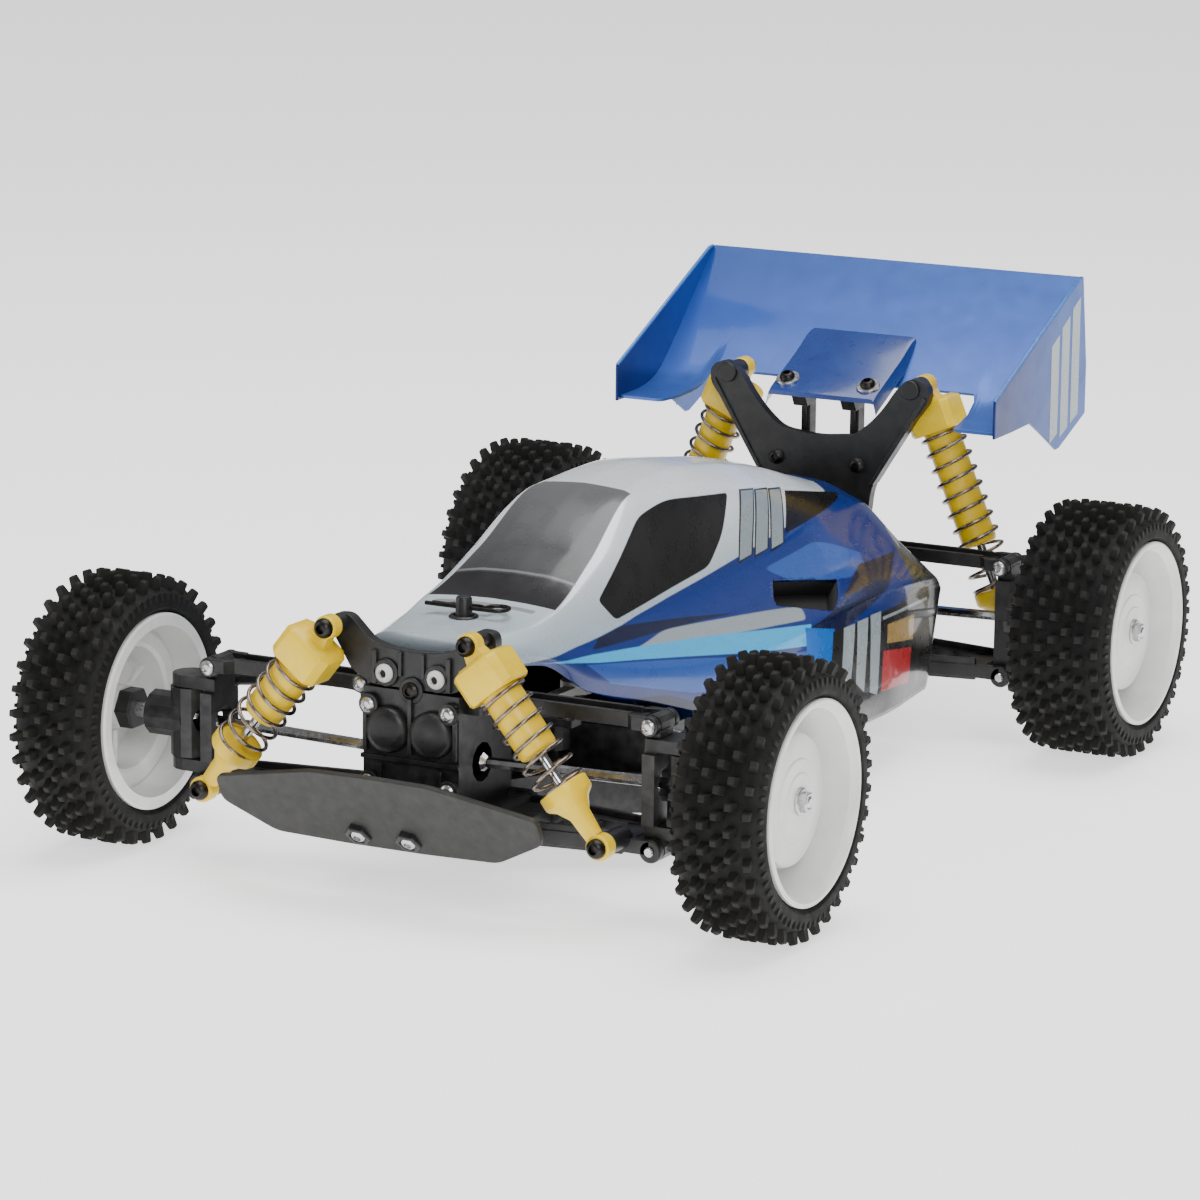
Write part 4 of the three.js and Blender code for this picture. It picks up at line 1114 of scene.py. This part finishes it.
def build_bumper():
    half = [(0, -0.4), (12, -0.4), (37, 0.4), (53.5, 9.8), (53.5, 18.6), (20, 25.6), (0, 26)]
    outline = round_outline(mirrored_outline(half), 2.5)
    lean = math.radians(26)
    loops = []
    for depth in (0.0, 2.4):
        loop = []
        for u, v in outline:
            crown = 0.9 * (1 - (u / 53.5) ** 2) * (1 - ((v - 13) / 14) ** 2)
            y = -25.5 - v * math.sin(lean) - (2.6 - depth) * math.cos(lean) - crown
            z = 18.8 + v * math.cos(lean) - (2.6 - depth) * math.sin(lean) * 0.6
            loop.append(Vector((u, y, z)))
        loops.append(loop)
    foot = block(-17, 17, -27.5, -25, 20, 28)
    piece(
        "bumper_plate", "chassis", "grey", loft(loops), foot, replaces=["front_bumper"], bevel=0.5,
        smooth=30,
    )
    boss = [(-1.5, 0), (-1.5, 4.3), (0.6, 4.3), (1.0, 3.9), (1.0, 2.8), (-0.2, 2.7), (-0.2, 0)]
    bosses, heads = [], []
    for x in (-8.4, 8.4):
        spot = Vector((x, -29.6, 21.4))
        normal = Vector((0, -0.75, -0.66)).normalized()
        bosses.append(lathe(boss, spot, normal, 6))
        heads.append(screw(spot + normal * -0.2, normal, 2.5, 1.5))
    piece("bumper_bosses", "chassis", "black", *bosses, bevel=0.25)
    piece("bumper_screws", "chassis", "zinc", *heads)


def build_front_tower():
    half = [
        (0, DECK_Z), (13, DECK_Z), (20.5, 66), (27.8, 78), (27, 82.2), (21.5, 82.6), (14, 75.5), (8, 74),
        (0, 73.5),
    ]
    plate = prism(round_outline(mirrored_outline(half), 2.0), "y", *FRONT_TOWER)
    parts = [plate]
    for side in (-1, 1):
        parts.append(pin(side * 23.6, 80, -18, -9.5, 2.5))
        parts.append(pin(side * 8.6, 66.6, -14.4, -9, 4.2))
        parts.append(block(side * 11.6, side * 13.2, -14.4, -9.2, 63, 73))
        parts.append(block(side * 3.2, side * 4.4, -14.2, -9.2, 66, 73.4))
    parts.append(pin(0, 62.2, -14.4, -9, 4.0))
    deck = block(-7, 7, -11, 20, DECK_Z, DECK_Z + 3)
    post = lathe(
        [(0, 0), (0, 3.2), (11, 2.7), (12.5, 2.6), (19.6, 2.4), (20.2, 2.0), (20.2, 0)], (0, POST_Y, 64.4),
        (0, 0, 1), 32,
    )
    piece("front_tower", "chassis", "black", *parts, deck, post, replaces=["front_shock_tower"], bevel=0.4)
    heads = [screw((x, -14.4, 66.6), (0, -1, 0), 2.8, 1.7) for x in (-8.6, 8.6)]
    # near-black pins in the screw heads: painted shade in their sockets
    sockets = [pin(x, 66.6, -14.6, -15.2, 1.3, 6) for x in (-8.6, 8.6)]
    piece("front_tower_screw_socket_shade", "chassis", "socket", *sockets)
    piece("front_tower_screws", "chassis", "nylon", *heads)
    piece(
        "front_tower_centre_screw", "chassis", "dark_steel", screw((0, -14.4, 62.2), (0, -1, 0), 2.6, 1.4),
    )


def build_body_clip():
    """The spring clip through the body post: a straight leg, a waved leg and a finger loop."""
    z = 81.2
    wire = 0.65
    straight = [(x, POST_Y, z) for x in (-13, -6, 0, 6, 9.5)]
    loop = []
    for i in range(1, 14):
        angle = -math.pi / 2 + math.pi * 1.5 * i / 13
        loop.append((9.5 + 3.4 * math.cos(angle), 20.4 + 3.4 * math.sin(angle), z))
    wave = []
    for i in range(0, 22):
        x = 5.6 - 17 * i / 21
        bulge = 3.3 if abs(x) < 4.4 else 3.3 - min(2.2, (abs(x) - 4.4) * 0.9)
        wave.append((x, POST_Y + max(1.4, bulge), z))
    piece("body_clip", "body_shell", "dark_steel", tube(straight + loop + wave, wire, 10))


def build_rear_tower():
    half = [
        (0, DECK_Z), (11, DECK_Z), (11, 64.8), (18.5, 64.8), (20, 78), (25, 89), (32, 98.5), (40.4, 109.5),
        (40.2, 115), (34.5, 117.4), (29, 113.5), (24, 106), (19.5, 101), (13.5, 96), (0, 94.6),
    ]
    tower_screws = ((13.5, 71), (15, 86))
    plate = prism(round_outline(mirrored_outline(half), 3.4), "y", *REAR_TOWER)
    parts = [plate]
    for side in (-1, 1):
        parts.append(pin(side * 33.7, 113, 255.6, 266, 3.3))
        for x, z in tower_screws:
            parts.append(pin(side * x, z, 255.8, 261, 2.6, 24))
        rib = [(side * x, z) for x, z in ((19.6, 80), (21, 80), (39.6, 110), (38.4, 111))]
        parts.append(prism(rib, "y", 255.9, 261.2))
    piece("rear_tower", "chassis", "black", *parts, replaces=["rear_shock_tower"], bevel=0.4)
    heads = [screw((side * x, 255.8, z), (0, -1, 0), 2.3, 1.2) for side in (-1, 1) for x, z in tower_screws]
    piece("rear_tower_screws", "chassis", "dark_steel", *heads)
    foot = [(260, 106.4), (272, 111.8), (272, 108), (268, 104), (262, 103)]
    stay = []
    for x in (-9, 9):
        leg = [(x - 1.8, DECK_Z), (x + 1.8, DECK_Z), (x + 1.6, 106), (x - 1.6, 106)]
        stay.append(prism(round_outline(leg, 0.6), "y", 266, 271))
        stay.append(prism(foot, "x", x - 2.6, x + 2.6))
        stay.append(prism([(266.4, 104.5), (264, 104.5), (266.4, 92)], "x", x - 0.8, x + 0.8))
    stay.append(block(-11, 11, 262.8, 271, DECK_Z, 67))
    stay.append(rod((-9, 268.5, 84), (9, 268.5, 84), 1.6, 18))
    piece("wing_posts", "chassis", "black", *stay, replaces=["wing_stay"], bevel=0.35)


# Suspension pivots of the left side in (x, z).
LOWER_IN, UPPER_IN, DROP = (22, 25), (20, 61), 2
SPAN = {"front": 54, "rear": 52}


def plan(points, y, low, high, edge=1):
    """A plate drawn from above about an axle, with edge -1 for its mirror image."""
    return prism([(u, v * edge + y) for u, v in points], "z", low, high)


def lower_arm(y, root, tip, damper, way):
    """Two spars with raised rails, cross bars, both pivots and the damper's boss."""
    (x0, z0), (x1, z1) = root, tip
    spar = [
        (x0, 15), (x0 + 9, 15), (x1 - 9, 9.4), (x1, 9.4), (x1, 6.4), (x1 - 6, 6.4), (x1 - 14, 4.8),
        (x0 + 12, 9.6), (x0, 9.6),
    ]
    rail = [(x0 + 3, 14.6), (x0 + 9, 14.6), (x1 - 9, 9.0), (x1 - 9, 7.6), (x0 + 9, 13.0), (x0 + 3, 13.0)]
    parts = []
    for edge in (-1, 1):
        parts.append(plan(spar, y, 21.8, 26.2, edge))
        parts.append(plan(rail, y, 21.0, 28.2, edge))
        parts.append(pin(x1, z1, y + edge * 6.4, y + edge * 9.4, 3.5))
    parts.append(block(x0, x0 + 12, y - 9.8, y + 9.8, 21.8, 26.2))
    parts.append(block(x1 - 15, x1 - 6, y - 6.6, y + 6.6, 21.8, 26.2))
    for i in (1, 2):
        x = x0 + 12 + (x1 - x0 - 27) * i / 3
        parts.append(block(x - 1, x + 1, y - 9, y + 9, 22.4, 25.6))
    parts.append(pin(x0, z0, y - 15, y + 15, 3.5))
    parts.append(pin(*damper["low"], y + way * 7, damper["y"] - way * 3.1, 3.3, 28))
    return parts


def upper_arm(y, root, tip):
    """A ribbed beam with a pivot at its root and a fork at its tip."""
    (x0, z0), (x1, z1) = root, tip
    fork = [(x1 - 9, 3.2), (x1 - 5.5, 7.2), (x1, 7.2), (x1, 4.5), (x1 - 4.6, 4.5)]
    parts = []
    for edge in (-1, 1):
        parts.append(pin(x1, z1, y + edge * 4.5, y + edge * 7.2, 3.0, 28))
        parts.append(plan(fork, y, 57.6, 61.6, edge))
    near = [(x0, -6), (x0 + 8, -4.4), (x1 - 7, -4.4), (x1 - 4.8, -5.5)]
    parts.append(plan(near + [(u, -v) for u, v in reversed(near)], y, 58.8, 60.4))
    rail = [(x0 + 1, 5.9), (x0 + 8, 4.5), (x1 - 7, 4.5), (x1 - 7, 3.1), (x0 + 8, 3.1), (x0 + 1, 4.4)]
    parts += [plan(rail, y, 57.6, 62.0, edge) for edge in (-1, 1)]
    parts.append(pin(x0, z0, y - 6, y + 6, 3.0, 28))
    return parts


def build_arms():
    for end in ENDS:
        y = 0.0 if end == "front" else WHEELBASE
        way = -1 if end == "front" else 1
        tip, upper_tip = ((x + SPAN[end], z - DROP) for x, z in (LOWER_IN, UPPER_IN))
        for hand, side in SIDES:
            name = f"{end}_{hand}"
            lower, upper = f"{name}_lower_arm", f"{name}_upper_arm"
            arm = lower_arm(y, LOWER_IN, tip, DAMPERS[end], way)
            piece(f"{name}_wishbone", lower, "black", *arm, mirror=side, bevel=0.35, replaces=[lower])
            hinge_pin = pin(*tip, y - 10.2, y + 10.2, 1.5, 18)
            piece(f"{name}_outer_pin", lower, "chrome", hinge_pin, mirror=side)
            arm = upper_arm(y, UPPER_IN, upper_tip)
            piece(f"{name}_upper_link", upper, "black", *arm, mirror=side, bevel=0.3, replaces=[upper])
            pivots = (
                ("link", upper, upper_tip, 7.2),
                ("pivot", "chassis", UPPER_IN, 9.0),
            )
            for place, rider, (x, z), ahead in pivots:
                head = screw((x, y - ahead, z), (0, -1, 0), 2.3, 1.2)
                piece(f"{name}_upper_{place}_screw", rider, "zinc", head, mirror=side)


def build_tie_rods():
    ball_cup = [(-2.2, 0), (-2.2, 2.4), (-1.6, 3.0), (1.6, 3.0), (2.2, 2.4), (2.2, 0)]
    for hand, side in SIDES:
        inner, outer = Vector((28, 30, 52)), Vector((82, 18, 50))
        along = (outer - inner).normalized()
        rod_solid = rod(inner + along * 6, outer - along * 6, 1.5, 20)
        sockets = []
        for spot, away in ((inner, along), (outer, -along)):
            sockets.append(lathe(ball_cup, spot, (0, 0, 1), 28))
            sockets.append(rod(spot + away * 1.5, spot + away * 11, 2.3, 20, 1.9))
        piece(
            f"tie_rod_{hand}_ends", f"tie_rod_{hand}", "black", *sockets, mirror=side,
            replaces=[f"tie_rod_{hand}"], bevel=0.2,
        )
        piece(f"tie_rod_{hand}_shaft", f"tie_rod_{hand}", "chrome", rod_solid, mirror=side)
        studs = (
            ("knuckle", f"front_{hand}_steering_knuckle", (82, 18, 45.8), 2.2),
            ("link", "steering_link", (28, 30, 48.4), 1.7),
        )
        for place, rider, spot, top in studs:
            stud = lathe([(-0.2, 0), (-0.2, 1.4), (top, 1.4), (top, 0)], spot, (0, 0, 1), 16)
            piece(f"{place}_{hand}_ball_stud", rider, "zinc", stud, mirror=side)


def build_gearbox_details():
    """Ribs, split line and screws on the outer faces of both gearboxes."""
    parts = [block(-16.4, 16.4, -15.2, -13.9, 40.6, 42.0)]
    for x in (-15, 0, 15):
        parts.append(block(x - 0.7, x + 0.7, -15.2, -13.9, 43, 60))
    for x in (-10, 10):
        parts.append(block(x - 0.8, x + 0.8, -15.4, -13.9, 28, 39.6))
    dome = [(0, 0), (0, 7.0), (1.8, 7.0), (3.0, 6.2), (3.7, 4.2), (3.9, 0)]
    parts += [lathe(dome, (x, -13.8, 50), (0, -1, 0), 40) for x in (-7.4, 7.4)]
    for side in (-1, 1):
        for z in (34, 57):
            parts.append(pin(side * 13.4, z, -16.2, -13.8, 3.2, 24))
    piece("front_gearbox_ribs", "chassis", "black", *parts, bevel=0.3)
    heads = [screw((side * 13.4, -16.2, z), (0, -1, 0), 2.3, 1.2) for side in (-1, 1) for z in (34, 57)]
    piece("front_gearbox_screws", "chassis", "zinc", *heads)
    back = (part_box("rear_gearbox")[1].y - FRONT_Y) / MM
    edge = 14.5
    ribs = [
        block(x - 0.7, x + 0.7, back - 0.1, back + 1.1, 24, 56)
        for x in (-edge, -edge / 3, edge / 3, edge)
    ]
    ribs.append(block(-edge, edge, back - 0.1, back + 1.3, 39, 40.6))
    spots = [(x, z) for x in (-edge + 2.6, edge - 2.6) for z in (28, 52)]
    ribs += [pin(x, z, back - 0.1, back + 1.8, 2.6, 24) for x, z in spots]
    piece("rear_gearbox_ribs", "chassis", "black", *ribs, bevel=0.3)
    heads = [screw((x, back + 1.8, z), (0, 1, 0), 2.1, 1.2) for x, z in spots]
    piece("rear_gearbox_screws", "chassis", "zinc", *heads)


# ---- kept CAD nodes -----------------------------------------------------------------------------
def finish_cad_nodes():
    looks = {
        "motor": "can", "battery_pack": "pack", "motor_pinion": "brass", "propeller_shaft": "chrome",
        "servo_horn": "nylon", "speed_controller": "heat_sink", "receiver": "case",
    }
    for name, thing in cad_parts.items():
        look = looks.get(name, "chrome" if "drive_shaft" in name else "black")
        for slot in thing.material_slots:
            slot.material = MATERIALS[look]
        if not thing.material_slots:
            thing.data.materials.append(MATERIALS[look])
        if name not in ("propeller_shaft", "motor_pinion"):
            soften(thing, 0.3, 42)


def build_materials():
    return {
        "black": moulded(
            "black_plastic", (0.010, 0.010, 0.0105), (0.006, 0.006, 0.0065), (0.34, 0.5),
            wear=(0.035, 0.035, 0.037),
        ),
        "grey": moulded(
            "grey_plastic", (0.016, 0.016, 0.0145), (0.012, 0.012, 0.011), (0.5, 0.62),
            wear=(0.04, 0.04, 0.038),
        ),
        "white": moulded(
            "white_plastic", (0.80, 0.80, 0.78), (0.70, 0.70, 0.685), (0.28, 0.42), wear=(0.86, 0.86, 0.85),
            coat=0.2,
        ),
        "nylon": moulded("white_nylon", (0.72, 0.72, 0.70), (0.6, 0.6, 0.58), (0.4, 0.55)),
        "yellow": moulded(
            "yellow_plastic", (0.90, 0.62, 0.0005), (0.82, 0.52, 0.0005), (0.32, 0.46),
            wear=(0.92, 0.68, 0.01), coat=0.15,
        ),
        "case": moulded("case_plastic", (0.03, 0.03, 0.034), (0.02, 0.02, 0.023), (0.3, 0.45)),
        "inside": moulded("shell_inside", (0.05, 0.05, 0.055), (0.035, 0.035, 0.04), (0.5, 0.6)),
        "rubber": rubber(),
        "pack": sleeve(),
        "chrome": metal("polished_steel", (0.62, 0.62, 0.63), (0.12, 0.24), (900, 60, 900)),
        "zinc": metal("zinc_plate", (0.66, 0.66, 0.67), (0.22, 0.38)),
        "dark_steel": metal("blackened_steel", (0.045, 0.042, 0.04), (0.3, 0.45)),
        "bronze": metal("spring_steel", (0.36, 0.31, 0.27), (0.22, 0.36), dark=(0.14, 0.11, 0.09)),
        "brass": metal("pinion_steel", (0.5, 0.46, 0.38), (0.25, 0.35)),
        "can": metal("motor_can", (0.5, 0.5, 0.51), (0.25, 0.4), (60, 900, 60)),
        "heat_sink": metal("heat_sink", (0.12, 0.12, 0.13), (0.35, 0.5)),
        "silver": moulded("silver_film", SILVER, tuple(c * 0.9 for c in SILVER), (0.25, 0.35), coat=0.6),
        "shell": shell_paint(),
        "wing": wing_paint(),
        "wing_pad": moulded(
            "wing_pad_film", (0.008, 0.045, 0.25), (0.005, 0.033, 0.20), (0.25, 0.35), coat=0.6,
        ),
        "endplate": endplate_paint(),
        "edge": moulded("rolled_edge_film", (0.05, 0.20, 0.60), (0.03, 0.15, 0.52), (0.22, 0.3), coat=0.6),
        "socket": moulded("socket_shadow", (0.004, 0.004, 0.004), (0.003, 0.003, 0.003), (0.7, 0.8)),
    }


add_camera()
add_stage()
MATERIALS = build_materials()
finish_cad_nodes()
build_wheels()
build_dampers()
build_shell()
build_wing()
build_bumper()
build_front_tower()
build_body_clip()
build_rear_tower()
build_arms()
build_tie_rods()
build_gearbox_details()
